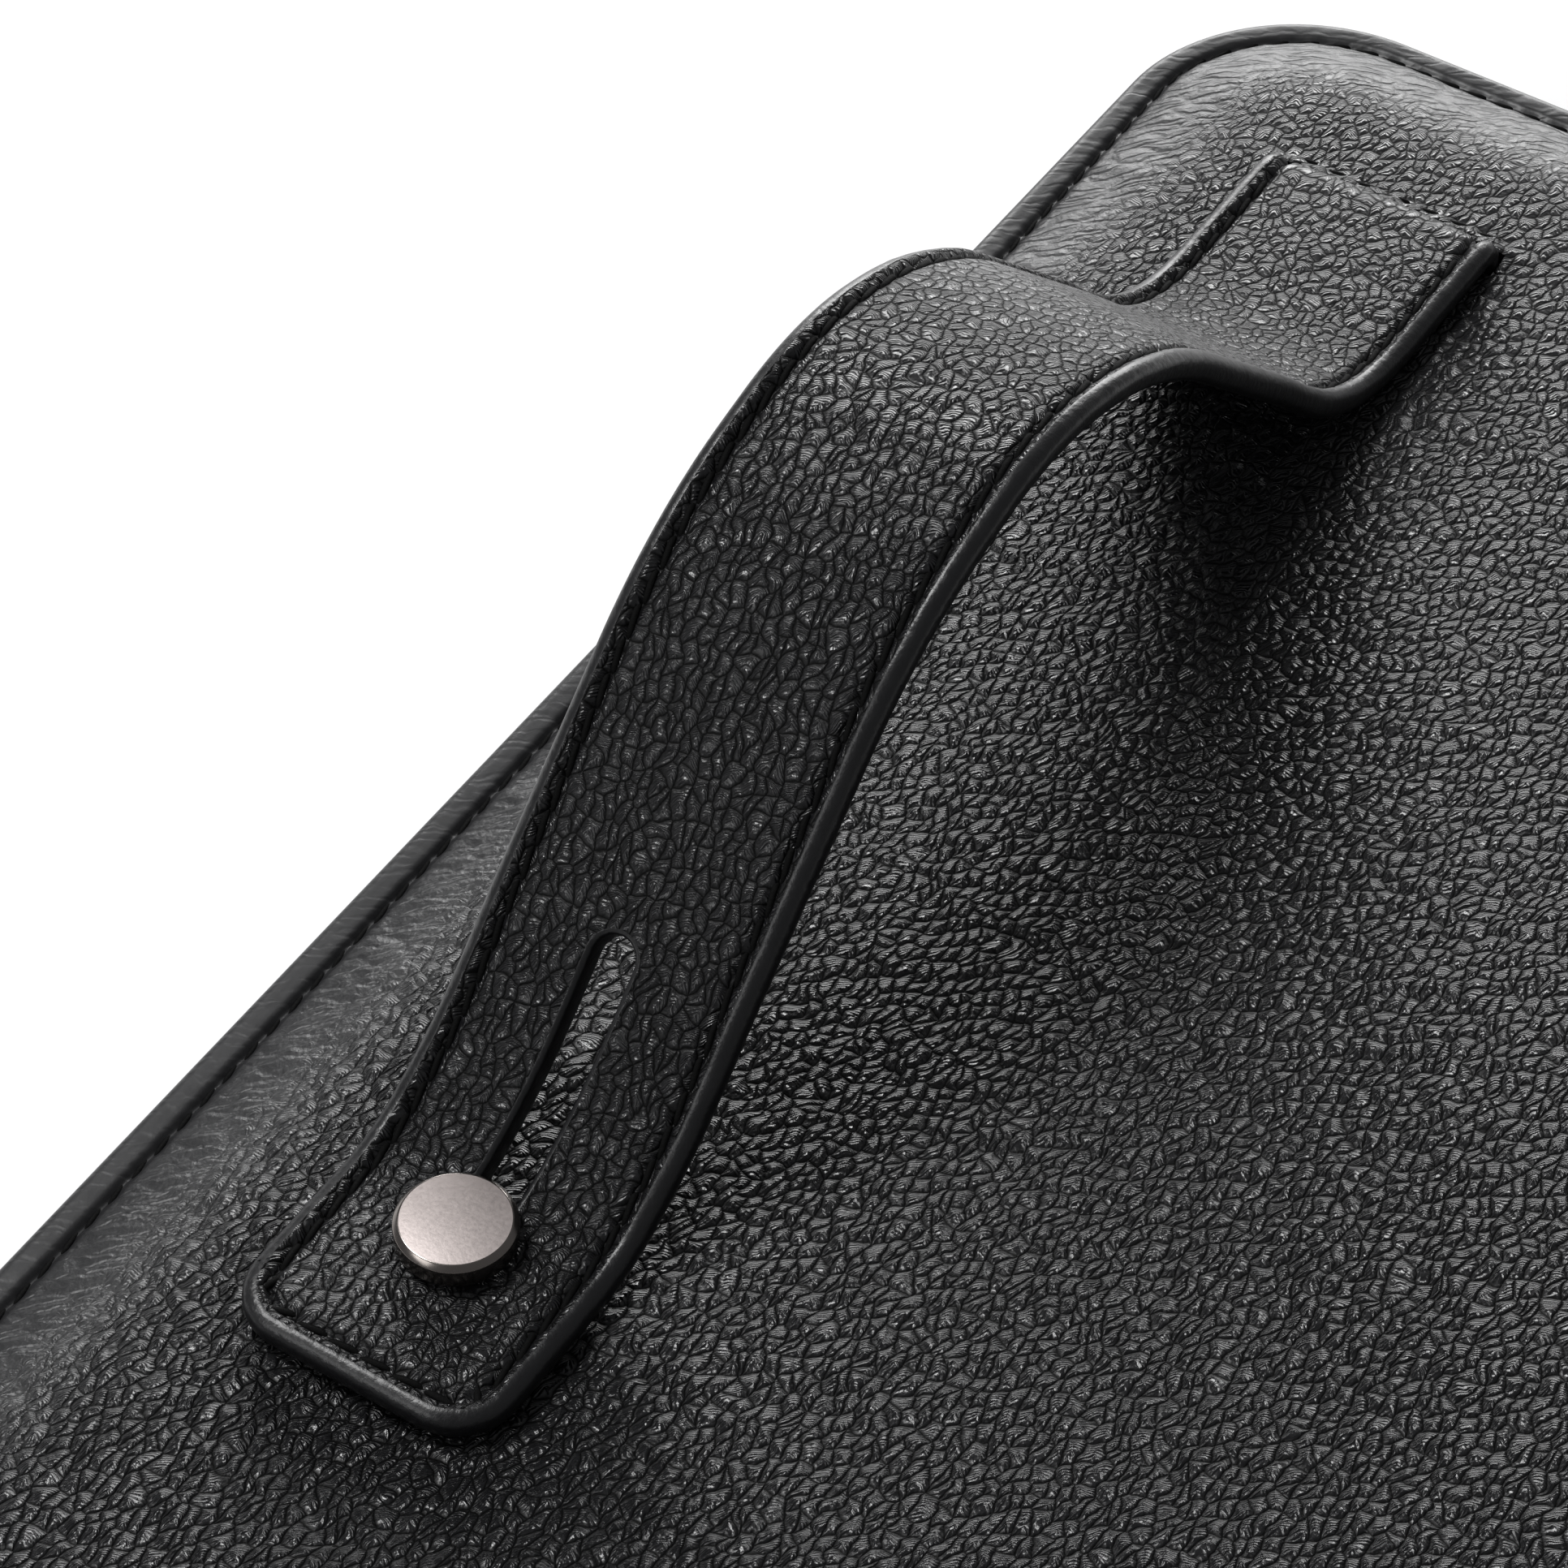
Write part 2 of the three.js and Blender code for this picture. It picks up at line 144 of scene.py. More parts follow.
# %% Colour and node helpers
def linear(hex_colour):
    parts = [int(hex_colour[i:i + 2], 16) / 255 for i in (1, 3, 5)]
    return [c / 12.92 if c <= 0.04045 else ((c + 0.055) / 1.055) ** 2.4 for c in parts] + [1.0]


def node(tree, kind, inputs=None, **settings):
    made = tree.nodes.new(kind)
    for name, value in settings.items():
        setattr(made, name, value)
    for socket, source in (inputs or {}).items():
        if isinstance(source, bpy.types.NodeSocket):
            tree.links.new(source, made.inputs[socket])
        else:
            made.inputs[socket].default_value = source
    return made


def new_material(name):
    material = bpy.data.materials.new(name)
    material.use_nodes = True
    material.node_tree.nodes.clear()
    return material, material.node_tree


def finish_material(tree, shader):
    output = node(tree, "ShaderNodeOutputMaterial")
    tree.links.new(shader.outputs[0], output.inputs["Surface"])


def per_mm(size):
    """Texture scale for a pattern whose repeat is size millimetres, on coordinates in millimetres."""
    return 1.0 / size


# %% [markdown]
# ## Pebbled leather
# The hide is full-grain leather, tumbled until its grain stands up in small pebbles about a
# millimetre and a half across, then dyed and finished black. Each pebble is a soft pillow crossed by fine
# arched wrinkles, and dark creases run between the pebbles in slanting rows. A cell pattern gives
# pillows and creases, and a wave pattern that arches over each pebble gives the wrinkles, with a fine
# noise over both. They all go in as bump, because
# the relief is only about a quarter of a millimetre. Black leather hardly scatters light: what is
# seen is the sheen on each wrinkle, so the colour is near black. In the creases the colour is pulled
# towards black and the sheen is lowered: that is painted shade, in place of the shade that falls into them.
# Near the seams the hide is stretched smooth and puckers across the edge, so a stored distance from
# the edge fades the pebbles out there, and cells drawn out across the edge take their place.

# %% Leather
CALM_HEIGHT = 0.35


def leather(name, source="object", pebble=1.25, tall=1.3, turn=33.0, slant=0.45, relief=0.14,
            wrinkle=0.085, gloss=0.27, calm=(55, 110), edge_fade=False):
    """Leather with pebbles pebble mm wide, and tall times as long. Heights are in mm. Between
    the two lengths in calm, in mm towards the head, the grain sinks to CALM_HEIGHT of its own. That is
    a choice for this view, in which the far end should look quiet."""
    material, tree = new_material(name)
    if source == "object":
        coords = node(tree, "ShaderNodeTexCoord").outputs["Object"]
    else:
        coords = node(tree, "ShaderNodeUVMap", uv_map="flat").outputs["UV"]

    def maths(operation, *values):
        return node(tree, "ShaderNodeMath", dict(enumerate(values)), operation=operation).outputs[0]

    in_mm = node(tree, "ShaderNodeMapping", {"Vector": coords, "Rotation": (0, 0, -math.radians(turn)),
                                             "Scale": (1000, 1000, 1000)}, vector_type="POINT").outputs[0]
    drift = node(tree, "ShaderNodeTexNoise", {"Vector": in_mm, "Scale": per_mm(3.5), "Detail": 2.5})
    centred = node(tree, "ShaderNodeVectorMath", {0: drift.outputs["Color"], 1: (0.5, 0.5, 0.5)},
                   operation="SUBTRACT").outputs[0]
    moved = node(tree, "ShaderNodeVectorMath", {0: centred, 1: (2.4, 2.4, 0), 2: in_mm},
                 operation="MULTIPLY_ADD").outputs[0]
    apart = node(tree, "ShaderNodeSeparateXYZ", {0: moved})
    along, up_hill = apart.outputs["X"], apart.outputs["Y"]
    rows = node(tree, "ShaderNodeCombineXYZ", {"X": maths("MULTIPLY_ADD", up_hill, -slant, along),
                                               "Y": maths("MULTIPLY", up_hill, 1 / tall)}).outputs[0]
    cell = {"Vector": rows, "Scale": per_mm(pebble), "Randomness": 0.85}
    creases = node(tree, "ShaderNodeTexVoronoi", cell, voronoi_dimensions="2D",
                   feature="DISTANCE_TO_EDGE").outputs["Distance"]
    middle = node(tree, "ShaderNodeTexVoronoi", cell, voronoi_dimensions="2D",
                  feature="F1").outputs["Distance"]
    steep = node(tree, "ShaderNodeMapRange", {"Value": creases, "From Max": 0.30, "To Min": 1.0,
                                              "To Max": 0.0}).outputs["Result"]
    valley = maths("MULTIPLY", steep, steep)
    pillow = maths("MULTIPLY", valley, -relief)
    # the wrinkles arch over each pebble: their level follows the distance from the pebble's middle
    level = maths("MULTIPLY_ADD", middle, pebble * 0.9, up_hill)
    strokes_at = node(tree, "ShaderNodeCombineXYZ", {"X": maths("MULTIPLY", along, 0.4),
                                                     "Y": level}).outputs[0]
    strokes = node(tree, "ShaderNodeTexWave", {"Vector": strokes_at, "Scale": per_mm(1.0), "Distortion": 3.2,
                                               "Detail": 2.0, "Detail Scale": 2.2},
                   wave_type="BANDS", bands_direction="Y").outputs["Fac"]
    fine = node(tree, "ShaderNodeTexNoise", {"Vector": in_mm, "Scale": per_mm(0.5), "Detail": 2.0},
                noise_dimensions="2D").outputs["Fac"]
    on_top = maths("MULTIPLY", strokes, maths("MULTIPLY_ADD", valley, -wrinkle, wrinkle))
    raw_y = node(tree, "ShaderNodeSeparateXYZ", {0: coords}).outputs["Y"]
    stretched = node(tree, "ShaderNodeMapRange", {
        "Value": raw_y, "From Min": calm[0] * MM, "From Max": calm[1] * MM, "To Min": 1.0,
        "To Max": CALM_HEIGHT}).outputs["Result"]
    height = maths("MULTIPLY", maths("ADD", maths("MULTIPLY_ADD", fine, 0.09, pillow), on_top), stretched)
    gloss_here = gloss
    if edge_fade:
        inset = node(tree, "ShaderNodeAttribute", attribute_name="edge_inset").outputs["Fac"]
        long_at = node(tree, "ShaderNodeVectorMath", {0: moved, 1: (0.26, 1.0, 1.0)},
                       operation="MULTIPLY").outputs[0]
        lines = node(tree, "ShaderNodeTexVoronoi", {"Vector": long_at, "Scale": per_mm(1.25)},
                     voronoi_dimensions="2D", feature="DISTANCE_TO_EDGE").outputs["Distance"]
        shallow = node(tree, "ShaderNodeMapRange", {"Value": lines, "From Max": 0.3, "To Max": 0.085},
                       interpolation_type="SMOOTHSTEP").outputs["Result"]
        folds_in_hide = maths("MULTIPLY_ADD", fine, 0.05, shallow)
        on_band = node(tree, "ShaderNodeMapRange", {"Value": inset, "From Min": 2.8, "From Max": 4.4,
                                                    "To Min": 0.25, "To Max": 1.0}).outputs["Result"]
        inner = node(tree, "ShaderNodeMapRange", {"Value": inset, "From Min": 6.0, "From Max": 18.0},
                     interpolation_type="SMOOTHSTEP").outputs["Result"]
        height = node(tree, "ShaderNodeMix", {0: inner, 2: maths("MULTIPLY", folds_in_hide, on_band),
                                              3: height}, data_type="FLOAT").outputs[0]
        valley = maths("MULTIPLY", valley, inner)
        gloss_here = node(tree, "ShaderNodeMapRange", {"Value": inner, "To Min": gloss + 0.16,
                                                       "To Max": gloss}).outputs["Result"]
    bump = node(tree, "ShaderNodeBump", {"Height": height, "Distance": MM, "Strength": 1.0})
    tone = node(tree, "ShaderNodeTexNoise", {"Vector": in_mm, "Scale": per_mm(26.0), "Detail": 3.0})
    dyed = node(tree, "ShaderNodeMix", {0: tone.outputs["Fac"], 6: linear("#0d0d0f"), 7: linear("#141416")},
                data_type="RGBA").outputs[2]
    # painted shade: the base colour is mixed towards near black in the creases, in place of the shade that
    # falls there
    colour = node(tree, "ShaderNodeMix", {0: valley, 6: dyed, 7: linear("#030303")},
                  data_type="RGBA").outputs[2]
    rough = maths("MULTIPLY_ADD", valley, 0.35, gloss_here)
    # painted shade: the sheen is lowered in the creases, in place of the shade that falls there
    sheen = node(tree, "ShaderNodeMapRange", {"Value": valley, "To Min": 0.5, "To Max": 0.07})
    shader = node(tree, "ShaderNodeBsdfPrincipled", {
        "Base Color": colour, "Roughness": rough, "Normal": bump.outputs[0],
        "Specular IOR Level": sheen.outputs["Result"], "IOR": 1.5})
    finish_material(tree, shader)
    return material


hide_leather = leather("pebbled_black_leather", edge_fade=True)
strap_leather = leather("pebbled_strap_leather", source="uv", pebble=1.15, tall=1.5, turn=12.0, slant=0.1,
                        relief=0.10, wrinkle=0.07, gloss=0.28, calm=(160, 200))
spine_leather = leather("pebbled_spine_leather", source="uv", calm=(200, 300))
print("leathers:", hide_leather.name, strap_leather.name, spine_leather.name)

# %% [markdown]
# ## Edge paint, thread, backing, suede and metal
# The cut edges of the strap are sanded and painted in several coats, which leaves a smooth
# half-gloss bead. The thread is bonded polyester, twisted and lightly waxed. The stud is satin
# nickel: its flat top has a fine satin finish, and its bevel is polished. The bevel is also given a darker
# colour than the top: a painted dark reflection of the surroundings.

# %% Other finishes
def plain_finish(name, colour, roughness, grain_mm, grain_depth, **shader_inputs):
    material, tree = new_material(name)
    coords = node(tree, "ShaderNodeTexCoord").outputs["Object"]
    in_mm = node(tree, "ShaderNodeVectorMath", {0: coords, 1: (1000, 1000, 1000)}, operation="MULTIPLY")
    grain = node(tree, "ShaderNodeTexNoise", {"Vector": in_mm.outputs[0], "Scale": per_mm(grain_mm),
                                              "Detail": 4.0, "Roughness": 0.6})
    bump = node(tree, "ShaderNodeBump", {"Height": grain.outputs["Fac"], "Distance": grain_depth * MM})
    rough = node(tree, "ShaderNodeMapRange", {"Value": grain.outputs["Fac"], "To Min": roughness - 0.08,
                                              "To Max": roughness + 0.08})
    inputs = {"Base Color": linear(colour), "Roughness": rough.outputs["Result"], "Normal": bump.outputs[0]}
    inputs.update(shader_inputs)
    finish_material(tree, node(tree, "ShaderNodeBsdfPrincipled", inputs))
    return material


edge_paint = plain_finish("black_edge_paint", "#0e0e10", 0.36, 1.1, 0.10)
backing_leather = plain_finish("smooth_split_leather", "#1d1d1f", 0.6, 0.5, 0.04)
suede_lining = plain_finish("microsuede_lining", "#3a3836", 0.95, 0.35, 0.05)
waxed_thread = plain_finish("waxed_black_thread", "#030303", 0.8, 0.25, 0.06, **{"Specular IOR Level": 0.12})
grey_foam = plain_finish("closed_cell_foam", "#55565a", 0.95, 0.6, 0.08)
black_board = plain_finish("black_fibre_board", "#232221", 0.9, 0.8, 0.05)
plated_steel = plain_finish("zinc_plated_steel", "#8a8a8c", 0.4, 0.5, 0.01, Metallic=1.0)
satin_nickel = plain_finish("satin_nickel", "#bdb3b0", 0.38, 0.3, 0.008, Metallic=1.0)
# painted reflection: the polished bevel's colour is darker than the satin top's, standing in for the dark
# surroundings it reflects
polished_nickel_painted_dark = plain_finish("polished_nickel_painted_dark", "#827c78", 0.22, 0.8, 0.002, Metallic=1.0)

# %% [markdown]
# ## Modelling helpers
# Every piece starts as a primitive and is shaped in edit mode. Operators act on whatever is
# selected, so each piece begins with nothing selected, and faces or edges are picked by where they
# lie or which way they face.

# %% Modelling helpers
def pick_none():
    if bpy.context.mode != "OBJECT":
        bpy.ops.object.mode_set(mode="OBJECT")
    bpy.ops.object.select_all(action="DESELECT")


def make_active(piece):
    pick_none()
    piece.select_set(True)
    bpy.context.view_layer.objects.active = piece


def start_editing(piece):
    make_active(piece)
    bpy.ops.object.mode_set(mode="EDIT")


def stop_editing():
    bpy.ops.object.mode_set(mode="OBJECT")


def new_block(name, low, high):
    """A cube primitive between two corners, with its place in its mesh."""
    pick_none()
    bpy.ops.mesh.primitive_cube_add(size=1, location=(low + high) / 2)
    piece = bpy.context.object
    piece.scale = high - low
    bpy.ops.object.transform_apply(location=True, rotation=True, scale=True)
    piece.name = piece.data.name = name
    return piece


def pick(piece, kind, test):
    """In edit mode, select only the faces, edges or vertices for which test is true."""
    bpy.ops.mesh.select_all(action="DESELECT")
    bpy.ops.mesh.select_mode(type=kind)
    edit = bmesh.from_edit_mesh(piece.data)
    chosen = 0
    for item in (edit.faces if kind == "FACE" else edit.edges if kind == "EDGE" else edit.verts):
        keep = bool(test(item))
        item.select_set(keep)
        chosen += keep
    edit.select_flush_mode()
    bmesh.update_edit_mesh(piece.data)
    return chosen


def rise(edge):
    """Difference in height between an edge's two ends."""
    return abs(edge.verts[0].co.z - edge.verts[1].co.z)


def round_edges(piece, test, offset, segments):
    """In edit mode, bevel the edges for which test is true, and say how many there were."""
    chosen = pick(piece, "EDGE", test)
    bpy.ops.mesh.bevel(offset=offset, segments=segments, affect="EDGES", profile=0.5)
    return chosen


def cut_through(place, way, **more):
    """In edit mode, cut the whole piece along a plane."""
    bpy.ops.mesh.select_all(action="SELECT")
    bpy.ops.mesh.bisect(plane_co=place, plane_no=way, **more)


def turn_faces_outwards():
    bpy.ops.mesh.select_all(action="SELECT")
    bpy.ops.mesh.normals_make_consistent(inside=False)


def apply_modifier(piece, kind, **settings):
    make_active(piece)
    modifier = piece.modifiers.new(kind.lower(), kind)
    for name, value in settings.items():
        setattr(modifier, name, value)
    bpy.ops.object.modifier_apply(modifier=modifier.name)


def copy_of(piece, name):
    twin = piece.copy()
    twin.data = piece.data.copy()
    twin.name = twin.data.name = name
    bpy.context.scene.collection.objects.link(twin)
    return twin


def smooth(piece, degrees=40):
    make_active(piece)
    bpy.ops.object.shade_smooth_by_angle(angle=math.radians(degrees))


def dress(piece, *materials):
    piece.data.materials.clear()
    for material in materials:
        piece.data.materials.append(material)


# %% [markdown]
# ## The strap, cut flat
# On the bench the strap is cut flat: a long strip with a rounded end and a slot. So it is made flat
# here too, and bent afterwards. A block gets its rounded corners from a bevel and its slot from a
# cutter, its rims are rounded where the edge paint builds up a bead, and bisecting cuts give it
# enough vertices to bend and to take the stitch line.

# %% Strap outline and slot
STRAP_CORNER = 5.5 * MM
SLOT_HALF = 1.95 * MM
SLOT_TIP = 44.2 * MM
SLOT_NEAR = stud_y - end_low.y - SLOT_HALF
RIM = 1.2 * MM
SLOT_RIM = 0.5 * MM
TUCK = 3.0 * MM

straight = [Vector((end_low.y, strap_mid))] + fold_points[::-1] + [Vector((slit_y - TUCK, strap_mid))]
gaps = [(b - a).length for a, b in zip(straight, straight[1:])]
flat_at = [sum(gaps[:i]) for i in range(len(straight))]
TUCK_RADIUS = strap_mid - PANEL_TOP
tuck_length = TUCK_RADIUS * math.pi / 2
STRAP_LONG = flat_at[-1] + tuck_length + 1.0 * MM

strap = new_block("strap", Vector((-strap_half, 0, -STRAP_THICK / 2)),
                  Vector((strap_half, STRAP_LONG, STRAP_THICK / 2)))
start_editing(strap)
round_edges(strap, lambda e: rise(e) > MM and all(v.co.y < MM for v in e.verts), STRAP_CORNER, 10)
stop_editing()

cutter = new_block("slot_cutter", Vector((-SLOT_HALF, SLOT_NEAR, -3 * MM)),
                   Vector((SLOT_HALF, SLOT_TIP, 3 * MM)))
start_editing(cutter)
round_edges(cutter, lambda e: rise(e) > MM, SLOT_HALF * 0.999, 8)
bpy.ops.mesh.select_all(action="SELECT")
bpy.ops.mesh.remove_doubles(threshold=0.01 * MM)
stop_editing()
apply_modifier(strap, "BOOLEAN", object=cutter, operation="DIFFERENCE", solver="EXACT")
bpy.data.objects.remove(cutter)


def on_slot(edge):
    return all(abs(v.co.x) < 3 * MM and v.co.y < SLOT_TIP + MM and v.co.y > SLOT_NEAR - MM
               for v in edge.verts)


def is_rim(edge):
    at_far_end = all(v.co.y > STRAP_LONG - 0.01 * MM for v in edge.verts)
    return rise(edge) < 0.01 * MM and not at_far_end and edge.calc_face_angle(0) > 1.0


start_editing(strap)
outer = round_edges(strap, lambda e: is_rim(e) and not on_slot(e), RIM, 5)
inner = round_edges(strap, lambda e: is_rim(e) and on_slot(e), SLOT_RIM, 3)
stop_editing()
print("strap flat length in mm:", round(STRAP_LONG * 1000, 1), " rims:", outer, inner)

# %% Cuts that let the strap bend and take its stitch line
SEAM_FROM_EDGE = 2.3 * MM
SEAM_CORNER = 3.2 * MM
seam_x = strap_half - SEAM_FROM_EDGE
fine = [seam_x - 3.3 * MM + 0.3 * MM * i for i in range(15)]
lengthwise = [0.0] + [sign * x for x in fine + [2.6 * MM, 4.6 * MM] for sign in (1, -1)]
STEP = 0.8 * MM
crosswise = [0.3 * MM * i for i in range(3, 24)] + [STEP * i for i in range(9, int(STRAP_LONG / STEP))]
start_editing(strap)
for x in lengthwise:
    cut_through((x, 0, 0), (1, 0, 0))
for y in crosswise:
    cut_through((0, y, 0), (0, 1, 0))
bpy.ops.mesh.select_all(action="SELECT")
bpy.ops.mesh.remove_doubles(threshold=0.004 * MM)
turn_faces_outwards()
stop_editing()
print("strap faces:", len(strap.data.polygons))

# %% [markdown]
# ## Faces, edges and the sunken seam
# Each face of the strip gets its finish from the way it points: grain on the top, split leather
# below, and edge paint on everything between. The flat positions are stored as UVs in metres, so
# that the grain keeps its size when the strap bends. Then the seam is pressed in: the thread pulls
# the leather down along a line that follows the edge round the strap's end, and deepest at each
# needle hole.

# %% Finishes, flat coordinates and seam
PITCH = 3.0 * MM
SEAM_DEPTH = 0.42 * MM
HOLE_DEPTH = 0.16 * MM
CROWN = 0.22 * MM


def seam_distance(x, y):
    """Distance from the strap's stitch line, which runs up one edge, round the end and back."""
    qx = abs(x) - (seam_x - SEAM_CORNER)
    qy = SEAM_FROM_EDGE + SEAM_CORNER - y
    outside = math.hypot(max(qx, 0), max(qy, 0))
    return outside + min(max(qx, qy), 0) - SEAM_CORNER


def press(depth, distance, width):
    return -depth * math.exp(-(distance / width) ** 2)


dress(strap, strap_leather, edge_paint, backing_leather)
flat = strap.data.uv_layers.new(name="flat")
for face in strap.data.polygons:
    in_rim = seam_distance(face.center.x, face.center.y) > SEAM_FROM_EDGE - RIM - 0.1 * MM
    face.material_index = 1 if abs(face.normal.z) < 0.97 or in_rim else 0 if face.normal.z > 0 else 2
    for loop in face.loop_indices:
        place = strap.data.vertices[strap.data.loops[loop].vertex_index].co
        flat.data[loop].uv = (place.x, place.y)
deepest = 0
for vertex in strap.data.vertices:
    x, y, z = vertex.co
    if z < 0.9 * MM:
        continue
    off = seam_distance(x, y)
    hole = 0.5 + 0.5 * math.cos(2 * math.pi * y / PITCH)
    dip = press(SEAM_DEPTH + HOLE_DEPTH * hole, off, 0.42 * MM)
    swell = 0.10 * MM * math.exp(-((off - 0.95 * MM) / (0.5 * MM)) ** 2)
    ripple = 0.07 * MM * noise.noise(Vector((x, y, 0)) / (2.4 * MM)) if off > 0.5 * MM else 0
    crown = CROWN * (1 - min(1, abs(x) / seam_x) ** 2) - CROWN
    vertex.co.z += dip + swell + ripple + (crown if off < 0 else -CROWN * math.exp(-off / MM))
    deepest = min(deepest, dip)
print("seam depth in mm:", round(-deepest * 1000, 2))

# %% [markdown]
# ## The way the strap lies
# Along its length the strap lies flat, rises into the arch, comes down and dives into the slit. Its
# middle line is the row of straight links between the joints, with each fold rounded off. Every
# vertex of the flat strip is carried onto that line. The Bend operator needs a window and makes only
# plain arcs, so this is done in code.

# %% Carry the flat strap onto its curve
ROUND = 6.2 * MM
LIFT = 0.22 * MM
halves = [0.0] + [min(a, b) / 2 for a, b in zip(gaps, gaps[1:])] + [0.0]
halves = [min(h, ROUND) for h in halves]


def on_line(along):
    """Place and direction of the strap's middle line, in the plane of y and z."""
    if along > flat_at[-1]:
        past = along - flat_at[-1]
        turn = min(past / TUCK_RADIUS, math.pi / 2)
        extra = max(0, past - tuck_length)
        return (Vector((straight[-1].x + TUCK_RADIUS * math.sin(turn),
                        PANEL_TOP + TUCK_RADIUS * math.cos(turn) - extra)),
                Vector((math.cos(turn), -math.sin(turn))))
    i = 1
    while i < len(straight) - 2 and along > flat_at[i] + halves[i]:
        i += 1
    before = (straight[i] - straight[i - 1]).normalized()
    after = (straight[i + 1] - straight[i]).normalized()
    h = halves[i]
    t = (along - flat_at[i] + h) / (2 * h)
    if t < 0:
        return straight[i] + before * (along - flat_at[i]), before
    if t > 1:
        return straight[i] + after * (along - flat_at[i]), after
    place = straight[i] + before * (-h * (1 - t) ** 2) + after * (h * t * t)
    return place, (before * (1 - t) + after * t).normalized()


def lift(along):
    """Rounding a fold cuts its corner, so the arch is raised a little to stay clear of the hide when flat."""
    rise, fall = along - flat_at[3] - ROUND, flat_at[10] - ROUND - along
    part = min(1, max(0, min(rise, fall) / ROUND))
    return LIFT * part * part * (3 - 2 * part)


def carried(point):
    place, way = on_line(point.y)
    high_side = Vector((-way.y, way.x)) * (point.z + lift(point.y))
    return Vector((strap_x + point.x, place.x + high_side.x, place.y + high_side.y))


def carried_turn(along):
    """Rotation that lays something made flat onto the bent strap."""
    way = on_line(along)[1]
    return Matrix.Rotation(math.atan2(way.y, way.x), 4, "X")


print("arch height in mm:", round((max(p.y for p in straight) - strap_mid) * 1000, 1))

# %% [markdown]
# ## Thread
# One stitch is modelled: a ball drawn out into a short, thick thread whose ends dip into the needle
# holes. A row of them is copied along each seam, every one turned a few degrees off the line, as a
# lockstitch lies. The copies of one row are joined into one piece.

# %% One stitch, and rows of stitches
def model_stitch(length, thick):
    pick_none()
    bpy.ops.mesh.primitive_uv_sphere_add(segments=8, ring_count=8, radius=1)
    made = bpy.context.object
    start_editing(made)
    bpy.ops.mesh.select_all(action="SELECT")
    bpy.ops.transform.rotate(value=math.pi / 2, orient_axis="X", center_override=(0, 0, 0))
    stop_editing()
    for vertex in made.data.vertices:
        x, y, z = vertex.co
        fat = (1 - abs(y) ** 6) ** 0.5
        ring = math.hypot(x, z) or 1
        vertex.co = Vector((x / ring * thick / 2 * fat * (ring > 0.01), y * length / 2,
                            z / ring * thick / 2 * fat * (ring > 0.01) - thick * 0.55 * y ** 4))
    smooth(made, 60)
    dress(made, waxed_thread)
    return made


def stitch_row(name, master, places):
    """places holds a matrix for each stitch. The result is one piece with its place in its mesh."""
    copies = []
    for place in places:
        twin = copy_of(master, name)
        twin.data.transform(place)
        copies.append(twin)
    pick_none()
    for twin in copies:
        twin.select_set(True)
    bpy.context.view_layer.objects.active = copies[0]
    bpy.ops.object.join()
    copies[0].name = copies[0].data.name = name
    return copies[0]


stitch = model_stitch(3.3 * MM, 0.65 * MM)
SLANT = math.radians(10)
STITCH_SUNK = 0.55 * MM
print("faces in one stitch:", len(stitch.data.polygons))

# %% [markdown]
# ## The strap in pieces, one for each fold
# A soft piece can bend across one joint at a time, so the strap is divided in the middle of each
# straight link, and each length holds one fold. The cuts meet where
# nothing bends, so they can't be seen.

# %% Divide, and bend each length through the fold it holds
cuts = [(flat_at[i] + flat_at[i + 1]) / 2 for i in range(1, len(flat_at) - 2)]
cuts = [0.0] + cuts + [STRAP_LONG]


def length_between(name, start, stop):
    piece = copy_of(strap, name)
    start_editing(piece)
    for place, way, at_end in ((start, -1, start <= 0), (stop, 1, stop >= STRAP_LONG)):
        if not at_end:
            cut_through((0, place, 0), (0, way, 0), clear_outer=True, use_fill=True)
    stop_editing()
    return piece


def seam_places(start, stop):
    places = []
    count = int((STRAP_LONG - SEAM_FROM_EDGE - SEAM_CORNER) / PITCH)
    for i in range(count):
        along = SEAM_FROM_EDGE + SEAM_CORNER + PITCH * (i + 0.5)
        if start <= along < stop and along < flat_at[-1] - 1.5 * MM:
            for sign in (1, -1):
                where = carried(Vector((sign * seam_x, along, STRAP_THICK / 2 - STITCH_SUNK)))
                places.append(Matrix.Translation(where) @ carried_turn(along) @
                              Matrix.Rotation(SLANT, 4, "Z"))
    if start <= 0:
        arc = SEAM_CORNER * math.pi / 2
        across = 2 * (seam_x - SEAM_CORNER)
        total = 2 * arc + across
        for i in range(round(total / PITCH)):
            run = total * (i + 0.5) / round(total / PITCH)
            if run < arc or run > arc + across:
                side = -1 if run < arc else 1
                turn = (run if run < arc else total - run) / SEAM_CORNER
                x = side * (seam_x - SEAM_CORNER + SEAM_CORNER * math.cos(turn))
                y = SEAM_FROM_EDGE + SEAM_CORNER - SEAM_CORNER * math.sin(turn)
                heading = side * turn
            else:
                x, y, heading = run - arc - across / 2, SEAM_FROM_EDGE, math.pi / 2
            where = carried(Vector((x, y, STRAP_THICK / 2 - STITCH_SUNK)))
            places.append(Matrix.Translation(where) @ Matrix.Rotation(heading + SLANT, 4, "Z"))
    return places


strap_pieces = []
for i in range(len(cuts) - 1):
    start, stop = cuts[i], cuts[i + 1]
    piece = length_between(f"strap_leather_{i + 1:02d}", start, stop)
    for vertex in piece.data.vertices:
        vertex.co = carried(vertex.co)
    piece.data.update()
    smooth(piece, 50)
    row = stitch_row(f"strap_stitches_{i + 1:02d}", stitch, seam_places(start, stop))
    strap_pieces.append((piece, row))
for i, (piece, row) in enumerate(strap_pieces):
    for part in (piece, row):
        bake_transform(part)
bpy.data.objects.remove(strap)
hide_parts(*[n for n in frame["nodes"] if n.startswith(("strap_face", "strap_backing"))])
strap_faces = sum(len(pair[0].data.polygons) for pair in strap_pieces)
print("strap lengths:", len(strap_pieces), " faces:", strap_faces)

